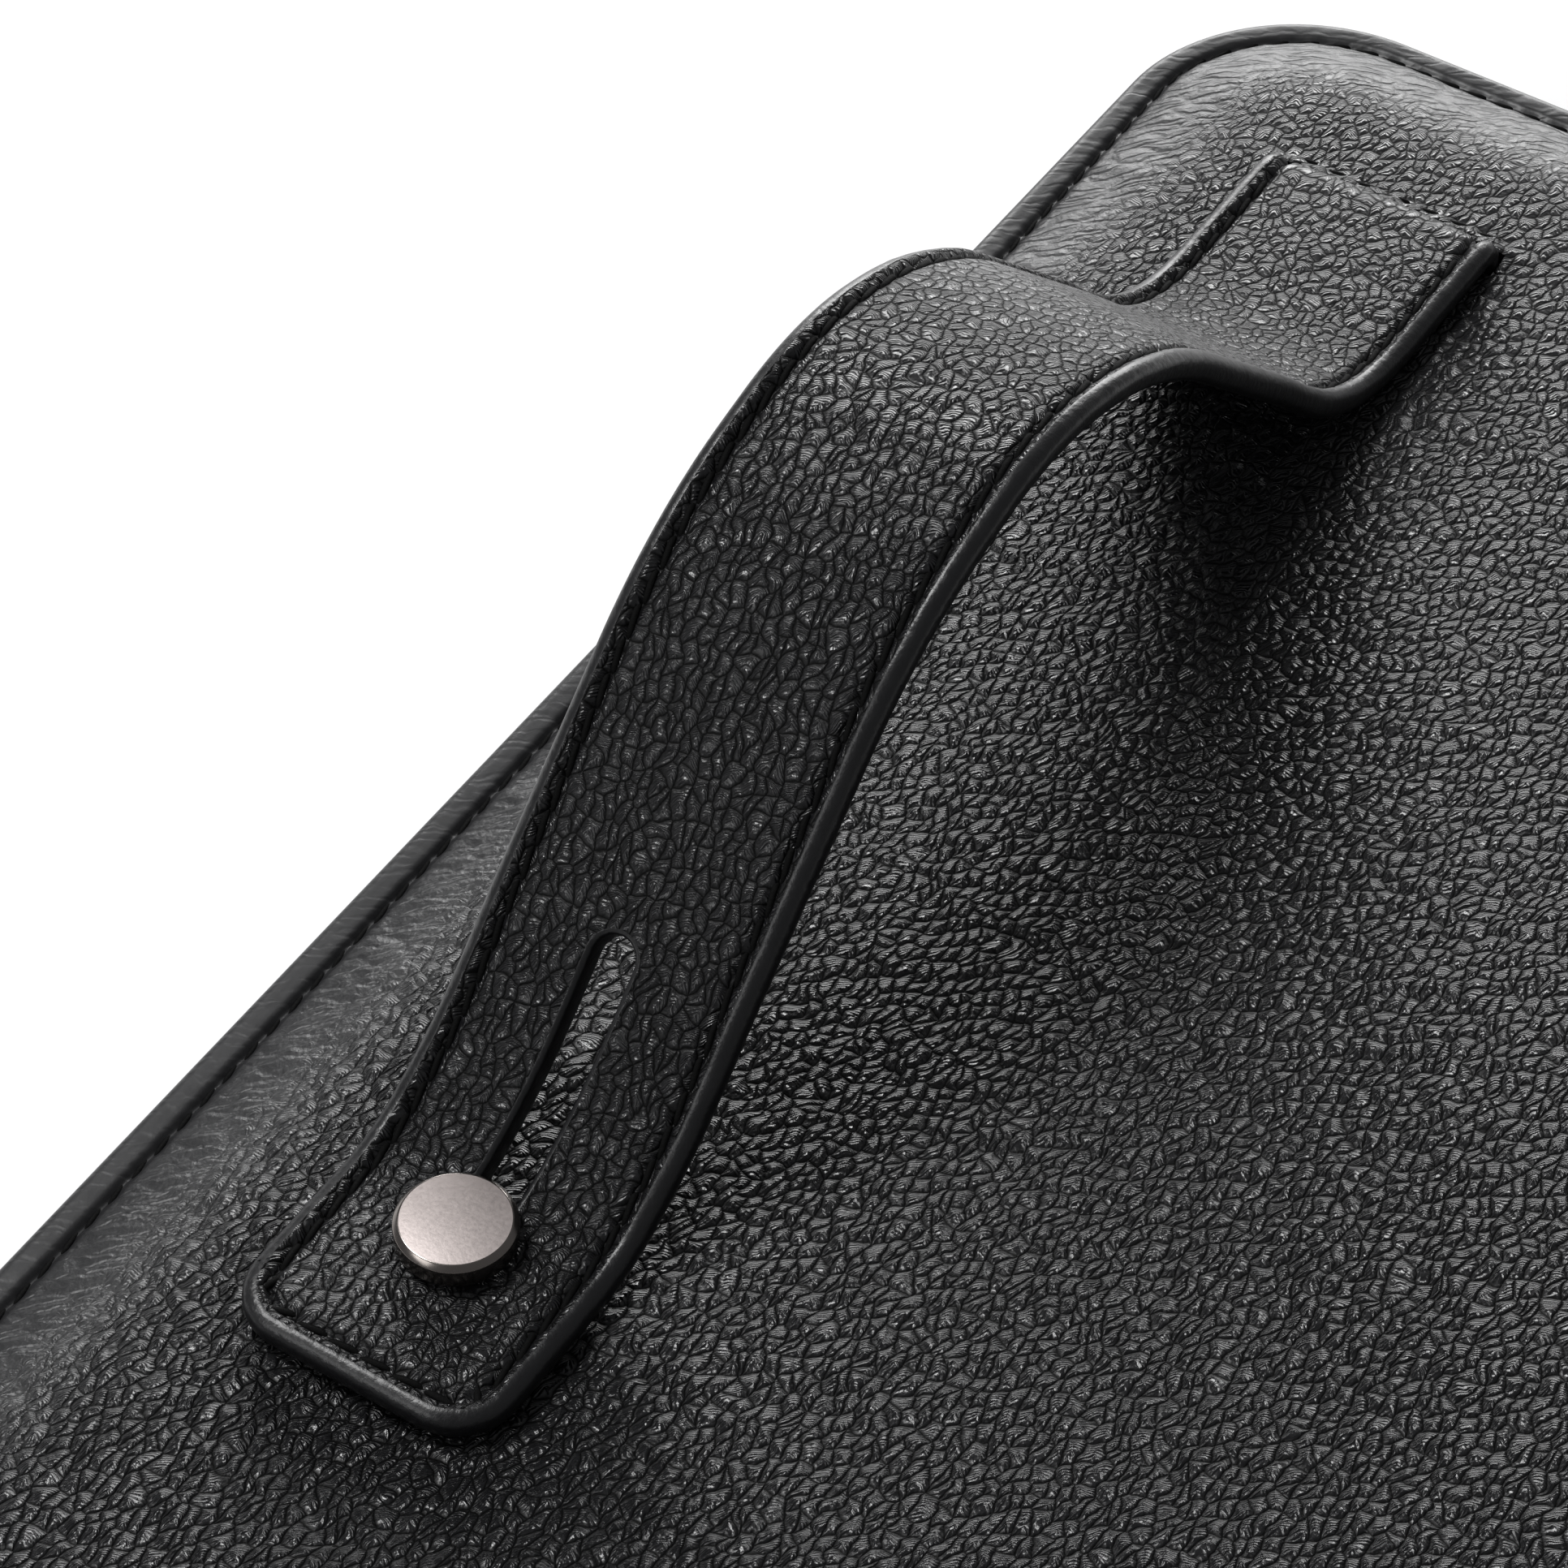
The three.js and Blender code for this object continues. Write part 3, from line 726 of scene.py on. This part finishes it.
# %% [markdown]
# ## A padded panel
# A panel is a stiff board under foam, with the hide drawn over both and turned in round the edge.
# The seam a few millimetres from the edge pinches the hide down to the board, and inside it the
# foam lifts the hide in a round shoulder. The slab is a plane with its corners bevelled, extruded
# and rounded at its rims. Its top is then extruded with no height, again and again, and each new
# ring is moved to its own distance from the edge, so that every ring of faces runs parallel to it.
# The rings are lifted to the shape of the padding afterwards.

# %% One panel in its own place, padded side up
HALF_HIGH = (hide_high.y - hide_low.y) / 2
FORE_X = hide_low.x
END_X = seam_high.x + seam_low.x - hide_low.x
FORE_CORNER = 20 * MM
SEAM_INSET = seam_low.x - hide_low.x + 0.3 * MM
PANEL_THICK = PANEL_TOP - PANEL_INNER
SLAB_UNDER = 0.8 * MM
EDGE_STITCH = 3.0 * MM
SHOULDER = 16.5 * MM
# edges longer than the length get this many cuts: first the two long sides, then what is still long
EDGE_CUTS = ((100 * MM, 2), (40 * MM, 83))


def panel_profile(x, y, inset):
    """Height above the slab's rim. The pad's corners are round even where the panel's are square."""
    start = SEAM_INSET + 0.3 * MM
    depth = inset - start
    from_spine, from_end = END_X - x - start, HALF_HIGH - abs(y) - start
    if from_spine < SHOULDER and from_end < SHOULDER:
        depth = SHOULDER - math.hypot(SHOULDER - from_spine, SHOULDER - from_end)
    part = min(1, max(0, depth / SHOULDER))
    return (PANEL_THICK - EDGE_THICK) * (1 - (1 - part) ** 2.5)


RING_STEPS = [0.4, 0.4, 0.35, 0.3, 0.2, 0.15, 0.15, 0.12, 0.12, 0.15, 0.2, 0.3, 0.35, 0.4, 0.5, 0.6, 0.7, 0.8,
              1.0, 1.2, 1.4, 1.6, 1.8, 2.0, 2.0]
RIM_ROUND = 1.15 * MM


def ring_place(place, inset):
    """Where a point of one ring goes on the next ring, which lies inset from the panel's edge."""
    cx, cy = FORE_X + FORE_CORNER, HALF_HIGH - FORE_CORNER
    x, y = place.x, abs(place.y)
    if x < cx and y > cy:
        out = Vector((x - cx, y - cy)).normalized() * (FORE_CORNER - inset)
        x, y = cx + out.x, cy + out.y
    else:
        x = min(max(x, FORE_X + inset), END_X - inset)
        y = min(y, HALF_HIGH - inset)
    return Vector((x, math.copysign(y, place.y), place.z))


def pick_top(piece):
    pick(piece, "FACE", lambda f: f.normal.z > 0.99 and f.calc_area() > 0.01)


def model_panel(name):
    pick_none()
    bpy.ops.mesh.primitive_plane_add(size=1)
    piece = bpy.context.object
    piece.name = piece.data.name = name
    start_editing(piece)
    for vertex in bmesh.from_edit_mesh(piece.data).verts:
        vertex.co = Vector((FORE_X if vertex.co.x < 0 else END_X, math.copysign(HALF_HIGH, vertex.co.y),
                            SLAB_UNDER))
    pick(piece, "VERT", lambda v: v.co.x < 0)
    bpy.ops.mesh.bevel(offset=FORE_CORNER, segments=28, affect="VERTICES")
    pick(piece, "VERT", lambda v: v.co.x > END_X - 0.1 * MM)
    bpy.ops.mesh.bevel(offset=2 * MM, segments=4, affect="VERTICES")
    for length, cut_count in EDGE_CUTS:
        pick(piece, "EDGE", lambda e: e.calc_length() > length)
        bpy.ops.mesh.subdivide(number_cuts=cut_count)
    bpy.ops.mesh.select_all(action="SELECT")
    bpy.ops.mesh.extrude_region_move(TRANSFORM_OT_translate={"value": (0, 0, EDGE_THICK - SLAB_UNDER)})
    turn_faces_outwards()
    round_edges(piece, lambda e: e.calc_face_angle(0) > 1.2, RIM_ROUND, 5)
    inset = RIM_ROUND
    for step in RING_STEPS:
        inset += step * MM
        pick_top(piece)
        bpy.ops.mesh.extrude_region_move(TRANSFORM_OT_translate={"value": (0, 0, 0)})
        edit = bmesh.from_edit_mesh(piece.data)
        for vertex in [v for v in edit.verts if v.select]:
            vertex.co = ring_place(vertex.co, inset)
        bmesh.update_edit_mesh(piece.data)
        bpy.ops.mesh.remove_doubles(threshold=0.02 * MM)
    stop_editing()
    return piece


slab = model_panel("panel")
print("rings of faces:", len(RING_STEPS), " faces:", len(slab.data.polygons))

# %% [markdown]
# The middle of the panel gets a grid, so that it can take the slit and the slight unevenness of a
# hide over foam. The puckers between the stitches are shaped from two lengths: how far a vertex is
# from the edge, and how far along the edge it lies. The first of them is also stored on the vertex,
# for the leather's material, which changes its grain near the seam.

# %% Padding, seam and puckers
def from_edge(x, y):
    across, along = HALF_HIGH - abs(y), min(x - FORE_X, END_X - x)
    cx, cy = FORE_X + FORE_CORNER, HALF_HIGH - FORE_CORNER
    if x < cx and abs(y) > cy:
        return FORE_CORNER - math.hypot(x - cx, abs(y) - cy)
    return min(across, along)


def edge_run(x, y):
    """Length along the panel's edge, from the middle of the fore edge round to the spine."""
    cx, cy = FORE_X + FORE_CORNER, HALF_HIGH - FORE_CORNER
    quarter = FORE_CORNER * math.pi / 2
    if x < cx and abs(y) > cy:
        run = cy + FORE_CORNER * math.atan2(abs(y) - cy, cx - x)
    elif x - FORE_X < min(HALF_HIGH - abs(y), END_X - x):
        run = abs(y)
    elif END_X - x < HALF_HIGH - abs(y):
        run = cy + quarter + (END_X - cx) + HALF_HIGH - abs(y)
    else:
        run = cy + quarter + (x - cx)
    return math.copysign(run, y)


def hide_height(x, y):
    inset, run = from_edge(x, y), edge_run(x, y)
    off = inset - SEAM_INSET
    between = 0.5 - 0.5 * math.cos(2 * math.pi * run / EDGE_STITCH)
    seam = press(0.55 * MM, off, 0.42 * MM) * (1.0 - 0.3 * between)
    pucker = 0.10 * MM * (between - 0.5) * math.exp(-abs(off) / (1.5 * MM))
    wrinkle = noise.noise(Vector((run / (3.1 * MM), inset / (9 * MM), 1.7)))
    gather = 0.20 * MM * wrinkle * math.exp(-((inset - 6 * MM) / (3.5 * MM)) ** 2)
    swell = -0.2 * MM * abs(noise.noise(Vector((x, y, 0)) / (17 * MM))) * min(1, inset / (14 * MM))
    return EDGE_THICK + panel_profile(x, y, inset) + seam + pucker + gather + swell


start_editing(slab)
GRID = 3.0 * MM
for axis, low_end, high_end in ((0, FORE_X, END_X), (1, -HALF_HIGH, HALF_HIGH)):
    place = low_end + 20 * MM
    while place < high_end - 19 * MM:
        pick(slab, "FACE", lambda f: f.normal.z > 0.99 and f.calc_area() > 0.00003)
        spot, way = [0, 0, 0], [0, 0, 0]
        spot[axis], way[axis] = place, 1
        bpy.ops.mesh.bisect(plane_co=spot, plane_no=way)
        place += GRID
stop_editing()
panel_top = {v.index for v in slab.data.vertices if v.co.z > EDGE_THICK - 0.01 * MM}
for index in panel_top:
    vertex = slab.data.vertices[index]
    if from_edge(vertex.co.x, vertex.co.y) > RIM_ROUND + 0.05 * MM:
        vertex.co.z = hide_height(vertex.co.x, vertex.co.y)
print("vertices shaped:", len(panel_top), " grid faces now:", len(slab.data.polygons))


# %% The two panels: one as it is, one turned over
def store_edge_values(piece):
    inset = piece.data.attributes.new("edge_inset", "FLOAT", "POINT")
    for i, vertex in enumerate(piece.data.vertices):
        inset.data[i].value = from_edge(vertex.co.x, vertex.co.y) * 1000


dress(slab, hide_leather)
store_edge_values(slab)
front = copy_of(slab, "front_padded_panel")
front.data.transform(Matrix.Rotation(math.pi, 4, "X"))
front.data.transform(Matrix.Translation((0, 0, FRONT_INNER)))
smooth(front, 60)
back = slab
back.name = back.data.name = "back_padded_panel"
back.data.transform(Matrix.Translation((0, 0, PANEL_INNER)))

# %% [markdown]
# ## The slit that swallows the strap
# The strap dives through a slit in the hide, and a row of stitches just past it holds its tail.
# There the hide is pinched: it stands up in a lip along the slit and dips along the stitches. The
# grid is cut finer where this happens, the slit is extruded down and left open, and the lip is raised.

# %% Slit, lip and stitch row
ROW_Y = (row_low.y + row_high.y) / 2
SLIT_HALF = strap_half + 0.15 * MM
SLIT_NEAR = slit_y - 2.85 * MM
SLIT_FAR = slit_y + 0.05 * MM
SLIT_DEPTH = 1.6 * MM
LIP_HEIGHT = 1.0 * MM
LUMP = 2.6 * MM


def by_slit(face):
    place = face.calc_center_median()
    close_by = abs(place.x - strap_x) < 14 * MM and SLIT_NEAR - 2 * MM < place.y < slit_y + 8 * MM
    return close_by and face.normal.z > 0.9


start_editing(back)
for i in range(-24, 25):
    pick(back, "FACE", by_slit)
    bpy.ops.mesh.bisect(plane_co=(strap_x + SLIT_HALF * i / 24, 0, 0), plane_no=(1, 0, 0))
for y in [SLIT_FAR + 0.4 * MM * i for i in range(19)] + [SLIT_NEAR]:
    pick(back, "FACE", by_slit)
    bpy.ops.mesh.bisect(plane_co=(0, y, 0), plane_no=(0, 1, 0))
hole = pick(back, "FACE", lambda f: abs(f.calc_center_median().x - strap_x) < SLIT_HALF and
            SLIT_NEAR < f.calc_center_median().y < SLIT_FAR and f.normal.z > 0.9)
bpy.ops.mesh.extrude_region_move(TRANSFORM_OT_translate={"value": (0, 0, -SLIT_DEPTH)})
bpy.ops.mesh.delete(type="FACE")
stop_editing()
for vertex in back.data.vertices:
    x, y = vertex.co.x - strap_x, vertex.co.y
    beyond = SLIT_FAR - 0.01 * MM < y < slit_y + 12 * MM
    if beyond and vertex.co.z > PANEL_TOP - 0.8 * MM and abs(x) < 20 * MM:
        inside = 1 / (1 + math.exp((abs(x) - strap_half - 0.1 * MM) / (0.5 * MM)))
        lump = 0.5 + 0.5 * math.cos(2 * math.pi * x / LUMP + 1.5 * noise.noise(Vector((x / (6 * MM), 0, 0))))
        lip = LIP_HEIGHT * math.exp(-((y - slit_y - 0.5 * MM) / (1.3 * MM)) ** 2)
        dip = press(0.3 * MM, y - ROW_Y, 0.6 * MM)
        vertex.co.z += inside * (lip * (0.75 + 0.25 * lump) + dip * (1 - lump))
smooth(back, 60)
for piece, side_name in ((back, "back"), (front, "front")):
    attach(piece, f"{side_name}_cover")
    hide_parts(f"{side_name}_leather", f"{side_name}_foam")
print("faces cut out for the slit:", hole)

# %% Edge stitches on both panels and the row past the slit
edge_stitch = model_stitch(3.2 * MM, 0.55 * MM)
EDGE_STITCH_SUNK = 0.52 * MM
ROW_PITCH = 3.3 * MM
ROW_COUNT = 7


def edge_places(inset, height, flip):
    """A matrix for each stitch of a seam that follows the panel's edge, padded side up."""
    x0, x1, y1, radius = FORE_X + inset, END_X - inset, HALF_HIGH - inset, FORE_CORNER - inset
    quarter = radius * math.pi / 2
    sides = [2 * (y1 - radius), quarter, x1 - x0 - radius, 2 * y1, x1 - x0 - radius, quarter]
    total = sum(sides)
    count = round(total / EDGE_STITCH)
    places = []
    for i in range(count):
        run = total * (i + 0.5) / count
        leg = 0
        while run > sides[leg]:
            run -= sides[leg]
            leg += 1
        turn = run / radius
        cx, cy = x0 + radius, y1 - radius
        x, y, heading = [
            (x0, -cy + run, 0),
            (cx - radius * math.cos(turn), cy + radius * math.sin(turn), -turn),
            (cx + run, y1, -math.pi / 2),
            (x1, y1 - run, 0),
            (x1 - run, -y1, -math.pi / 2),
            (cx - radius * math.sin(turn), -cy - radius * math.cos(turn), -math.pi / 2 - turn)][leg]
        places.append(Matrix.Translation((x, y, height)) @ Matrix.Rotation(heading + SLANT, 4, "Z") @ flip)
    return places


upright = Matrix.Identity(4)
turned_over = Matrix.Rotation(math.pi, 4, "Y")
up_in_back = Matrix.Translation((0, 0, PANEL_INNER))
down_in_front = Matrix.Translation((0, 0, FRONT_INNER)) @ Matrix.Rotation(math.pi, 4, "X")
outer_places = edge_places(SEAM_INSET, EDGE_THICK - EDGE_STITCH_SUNK, upright)
for side_name, move in (("back", up_in_back), ("front", down_in_front)):
    row = stitch_row(f"{side_name}_edge_stitches", edge_stitch, [move @ p for p in outer_places])
    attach(row, f"{side_name}_cover")
    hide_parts(f"{side_name}_edge_thread")
row_places = [Matrix.Translation((strap_x + (i - (ROW_COUNT - 1) / 2) * ROW_PITCH, ROW_Y,
                                  PANEL_TOP - 0.10 * MM)) @ Matrix.Rotation(math.pi / 2 + SLANT, 4, "Z")
              for i in range(ROW_COUNT)]
slit_row = stitch_row("slit_stitches", edge_stitch, row_places)
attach(slit_row, "back_cover")
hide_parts("strap_row_thread")
print("stitches round a panel:", len(outer_places), " past the slit:", len(row_places))

# %% [markdown]
# ## The stud
# The stud is turned from brass and plated in nickel: a flat head with a bevelled rim on a thin neck
# that runs in the slot. A cylinder gets its neck by inset and extrusion and its rim by bevels. The
# flat top is one finish and the polished rim another, whose darker colour is a painted dark reflection.

# %% Stud
pick_none()
stud_x = (head_low.x + head_high.x) / 2
head_radius = (head_high.x - head_low.x) / 2
HEAD_THICK = 2.2 * MM
NECK_RADIUS = 1.5 * MM
NECK_SUNK = 0.6 * MM
HEAD_BEVEL = 0.45 * MM
bpy.ops.mesh.primitive_cylinder_add(vertices=96, radius=head_radius, depth=HEAD_THICK,
                                    location=(stud_x, stud_y, head_high.z - HEAD_THICK / 2))
stud = bpy.context.object
stud.name = stud.data.name = "nickel_stud"
bpy.ops.object.transform_apply(location=True, rotation=True, scale=True)
start_editing(stud)
pick(stud, "FACE", lambda f: f.normal.z < -0.9)
bpy.ops.mesh.inset(thickness=head_radius - NECK_RADIUS)
bpy.ops.mesh.extrude_region_move(TRANSFORM_OT_translate={
    "value": (0, 0, PANEL_TOP - NECK_SUNK - head_high.z + HEAD_THICK)})
round_edges(stud, lambda e: all(v.co.z > head_high.z - 0.01 * MM for v in e.verts), HEAD_BEVEL, 1)
round_edges(stud, lambda e: 0.5 < e.calc_face_angle(0) < 1.2, 0.09 * MM, 3)
round_edges(stud, lambda e: e.calc_face_angle(0) > 1.2 and
            all(v.co.z > head_high.z - HEAD_THICK - 0.1 * MM for v in e.verts), 0.2 * MM, 3)
stop_editing()
smooth(stud, 30)
dress(stud, satin_nickel, polished_nickel_painted_dark)
# the rim's darker nickel is a painted dark reflection; the flat top keeps the lighter nickel
for face in stud.data.polygons:
    face.material_index = 0 if face.normal.z > 0.999 and face.center.z > head_high.z - 0.1 * MM else 1
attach(stud, "back_cover")
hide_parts("stud_head")
print("stud faces:", len(stud.data.polygons))

# %% [markdown]
# ## The spine
# The hide runs on from the panels over the spine, and folds along two lines. It is a grid laid round
# the spine, thickened, and divided into three: the middle rides on the spine, and each outer part
# holds one fold and stays where it is made.

# %% Spine hide
spine_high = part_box("spine_leather")[1]
HIDE = 1.2 * MM
SPINE_ROUND = 1.4 * MM
hinge_top = PANEL_INNER + EDGE_THICK
hinge_under = FRONT_INNER - EDGE_THICK


def spine_line():
    """Outer line of the spine hide, from the back panel round to the front panel."""
    points = [(spine_high.x - d * MM, hinge_top - 0.02 * MM * d) for d in (5.4, 4.8, 4.2, 3.6, 3.0, 2.4, 1.9)]
    for i in range(9):
        turn = math.pi / 2 * i / 8
        points.append((spine_high.x - SPINE_ROUND + SPINE_ROUND * math.sin(turn),
                       hinge_top - SPINE_ROUND + SPINE_ROUND * math.cos(turn)))
    middle = (hinge_top + hinge_under) / 2
    half = hinge_top - SPINE_ROUND - middle
    lower = [(x, 2 * middle - z) for x, z in points]
    straight_run = [(spine_high.x, middle + half * (1 - 2 * i / 14)) for i in range(1, 14)]
    return points + straight_run + lower[::-1]


line = spine_line()
SPINE_STEPS = 120
pick_none()
bpy.ops.mesh.primitive_grid_add(x_subdivisions=len(line) - 1, y_subdivisions=SPINE_STEPS, size=2)
spine = bpy.context.object
spine.name = spine.data.name = "spine_hide"
runs = [0.0]
for (x0, z0), (x1, z1) in zip(line, line[1:]):
    runs.append(runs[-1] + math.hypot(x1 - x0, z1 - z0))
spine_flat = spine.data.uv_layers.new(name="flat")
for loop in spine.data.loops:
    place = spine.data.vertices[loop.vertex_index].co
    spine_flat.data[loop.index].uv = (runs[round((place.x + 1) / 2 * (len(line) - 1))],
                                      place.y * spine_high.y)
for vertex in spine.data.vertices:
    x, z = line[round((vertex.co.x + 1) / 2 * (len(line) - 1))]
    vertex.co = Vector((x, vertex.co.y * spine_high.y, z))
apply_modifier(spine, "SOLIDIFY", thickness=HIDE, offset=-1)
start_editing(spine)
turn_faces_outwards()
stop_editing()
print("spine hide box in mm:", [round(c * 1000, 1) for c in spine.dimensions])

# %% Three lengths of spine hide
dress(spine, spine_leather)
reach = 4.2 * MM
parts = []
for name, keep_above, keep_below in (("back_hinge", hinge_top - reach, 1), ("spine_back", hinge_under + reach,
                                     hinge_top - reach), ("front_hinge", -1, hinge_under + reach)):
    part = copy_of(spine, name)
    start_editing(part)
    for level, way in ((keep_above, -1), (keep_below, 1)):
        if abs(level) < 0.5:
            cut_through((0, 0, level), (0, 0, way), clear_outer=True, use_fill=True)
    stop_editing()
    smooth(part, 50)
    parts.append(part)
bpy.data.objects.remove(spine)
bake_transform(parts[0])
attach(parts[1], "spine")
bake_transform(parts[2])
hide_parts("spine_leather")
print("spine parts:", [p.name for p in parts])

# %% [markdown]
# ## Inside: suede lining and sleeves
# Each panel is lined with microsuede, and a leather sleeve at the fore edge holds the notebook's own
# cover. The sleeve is open towards the spine, with a hollow for the thumb. The same seam that
# closes the panel's edge holds lining and sleeve, so its stitches show here too.

# %% Linings
LINING_INSET = 1.2 * MM


def rounded_sheet(name, x0, x1, half_high, corner, z0, z1, rim):
    piece = new_block(name, Vector((x0, -half_high, z0)), Vector((x1, half_high, z1)))
    start_editing(piece)
    round_edges(piece, lambda e: rise(e) > (z1 - z0) / 2 and e.verts[0].co.x < (x0 + x1) / 2, corner, 24)
    round_edges(piece, lambda e: e.calc_face_angle(0) > 1.2 and rise(e) < 0.01 * MM, rim, 3)
    stop_editing()
    return piece


lining = rounded_sheet("lining", FORE_X + LINING_INSET, END_X - LINING_INSET, HALF_HIGH - LINING_INSET,
                       FORE_CORNER - LINING_INSET, 0, 0.6 * MM, 0.22 * MM)
dress(lining, suede_lining)
smooth(lining, 40)
for side_name, move in (("back", up_in_back), ("front", down_in_front)):
    sheet = copy_of(lining, f"{side_name}_suede_lining")
    sheet.data.transform(move)
    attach(sheet, f"{side_name}_cover")
    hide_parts(f"{side_name}_lining")
bpy.data.objects.remove(lining)

strip_low, strip_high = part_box("spine_lining")
strip = new_block("spine_suede_lining", strip_low, strip_high)
start_editing(strip)
round_edges(strip, lambda e: True, 0.15 * MM, 2)
stop_editing()
dress(strip, suede_lining)
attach(strip, "spine")
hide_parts("spine_lining")
print("lining strip in mm:", [round(c * 1000, 1) for c in strip.dimensions])

# %% Sleeves with a thumb hollow
flap_low, flap_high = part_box("back_flap")
FLAP_UNDER, FLAP_TOP = flap_low.z - PANEL_INNER, flap_high.z - PANEL_INNER
SLEEVE_WALL = 4 * MM
THUMB_RADIUS = 40 * MM
THUMB_DEEP = 8 * MM
sleeve = rounded_sheet("sleeve", flap_low.x, flap_high.x, flap_high.y, FORE_CORNER - LINING_INSET,
                       FLAP_UNDER, FLAP_TOP, 0.3 * MM)
room = new_block("room", Vector((flap_low.x + SLEEVE_WALL, flap_low.y + SLEEVE_WALL, FLAP_UNDER + MM)),
                 Vector((flap_high.x + MM, flap_high.y - SLEEVE_WALL, FLAP_TOP + MM)))
apply_modifier(sleeve, "BOOLEAN", object=room, operation="DIFFERENCE", solver="EXACT")
bpy.data.objects.remove(room)
pick_none()
bpy.ops.mesh.primitive_cylinder_add(vertices=160, radius=THUMB_RADIUS, depth=8 * MM,
                                    location=(flap_high.x + THUMB_RADIUS - THUMB_DEEP, 0, FLAP_UNDER))
thumb = bpy.context.object
apply_modifier(sleeve, "BOOLEAN", object=thumb, operation="DIFFERENCE", solver="EXACT")
bpy.data.objects.remove(thumb)
smooth(sleeve, 40)
dress(sleeve, backing_leather)
inner_places = edge_places(SEAM_INSET, 0, turned_over)
sleeve_places = [Matrix.Translation((0, 0, FLAP_UNDER + 0.05 * MM)) @ p for p in inner_places
                 if p.translation.x < flap_high.x]
lining_places = [Matrix.Translation((0, 0, 0.05 * MM)) @ p for p in inner_places
                 if p.translation.x >= flap_high.x]
for side_name, move in (("back", up_in_back), ("front", down_in_front)):
    flap = copy_of(sleeve, f"{side_name}_sleeve")
    flap.data.transform(move)
    row = stitch_row(f"{side_name}_inner_stitches", edge_stitch,
                     [move @ p for p in sleeve_places + lining_places])
    for piece in (flap, row):
        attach(piece, f"{side_name}_cover")
    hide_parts(f"{side_name}_flap")
bpy.data.objects.remove(sleeve)
bpy.data.objects.remove(stitch)
bpy.data.objects.remove(edge_stitch)
print("inner stitches:", len(sleeve_places) + len(lining_places))

# %% Finishes for what stays as it is in the frame
for name, material in (("back_board", black_board), ("front_board", black_board),
                       ("spine_board", black_board), ("back_foam", grey_foam), ("front_foam", grey_foam),
                       ("stud_washer", plated_steel), ("stud_screw", plated_steel)):
    for material_slot in frame["nodes"][name].material_slots:
        material_slot.material = material
print("pieces kept from the frame dressed")

# %% [markdown]
# ## Floor and light
# The cover lies on a plain white table in a light tent. A large soft light stands low behind it, to
# the left: it draws the grain, because black leather is seen by what it reflects. A small one hangs
# above and a weak one stands in front, both also to the left, and the white surroundings do the rest.

# %% Floor
TABLE_WIDE = 6.0
pick_none()
bpy.ops.mesh.primitive_plane_add(size=TABLE_WIDE, location=(0, 0, cad_box[0][2]))
floor = bpy.context.object
floor.name = "floor"
dress(floor, plain_finish("white_table", "#f4f4f4", 0.7, 2.0, 0.01))

world = bpy.data.worlds.new("light_tent")
bpy.context.scene.world = world
world.use_nodes = True
world.node_tree.nodes.clear()
sky = node(world.node_tree, "ShaderNodeBackground", {"Color": (0.97, 0.98, 1.0, 1), "Strength": 0.19})
sky_out = node(world.node_tree, "ShaderNodeOutputWorld")
world.node_tree.links.new(sky.outputs[0], sky_out.inputs["Surface"])


def soft_light(name, towards, distance, size, power):
    lamp = bpy.data.objects.new(name, bpy.data.lights.new(name, "AREA"))
    lamp.data.shape = "RECTANGLE"
    lamp.data.size, lamp.data.size_y = size
    lamp.data.energy = power
    bpy.context.scene.collection.objects.link(lamp)
    towards = Vector(towards).normalized()
    lamp.location = AIM + towards * distance
    lamp.rotation_euler = towards.to_track_quat("Z", "Y").to_euler()


soft_light("back_light", (-0.42, 0.86, 0.23), 2.0, (1.5, 0.6), 35)
soft_light("top_light", (-0.55, -0.05, 1.0), 1.2, (0.35, 0.35), 11)
soft_light("fill_light", (-0.37, -0.75, 0.62), 1.6, (0.7, 0.5), 4.5)
bpy.context.scene.view_settings.view_transform = "Standard"
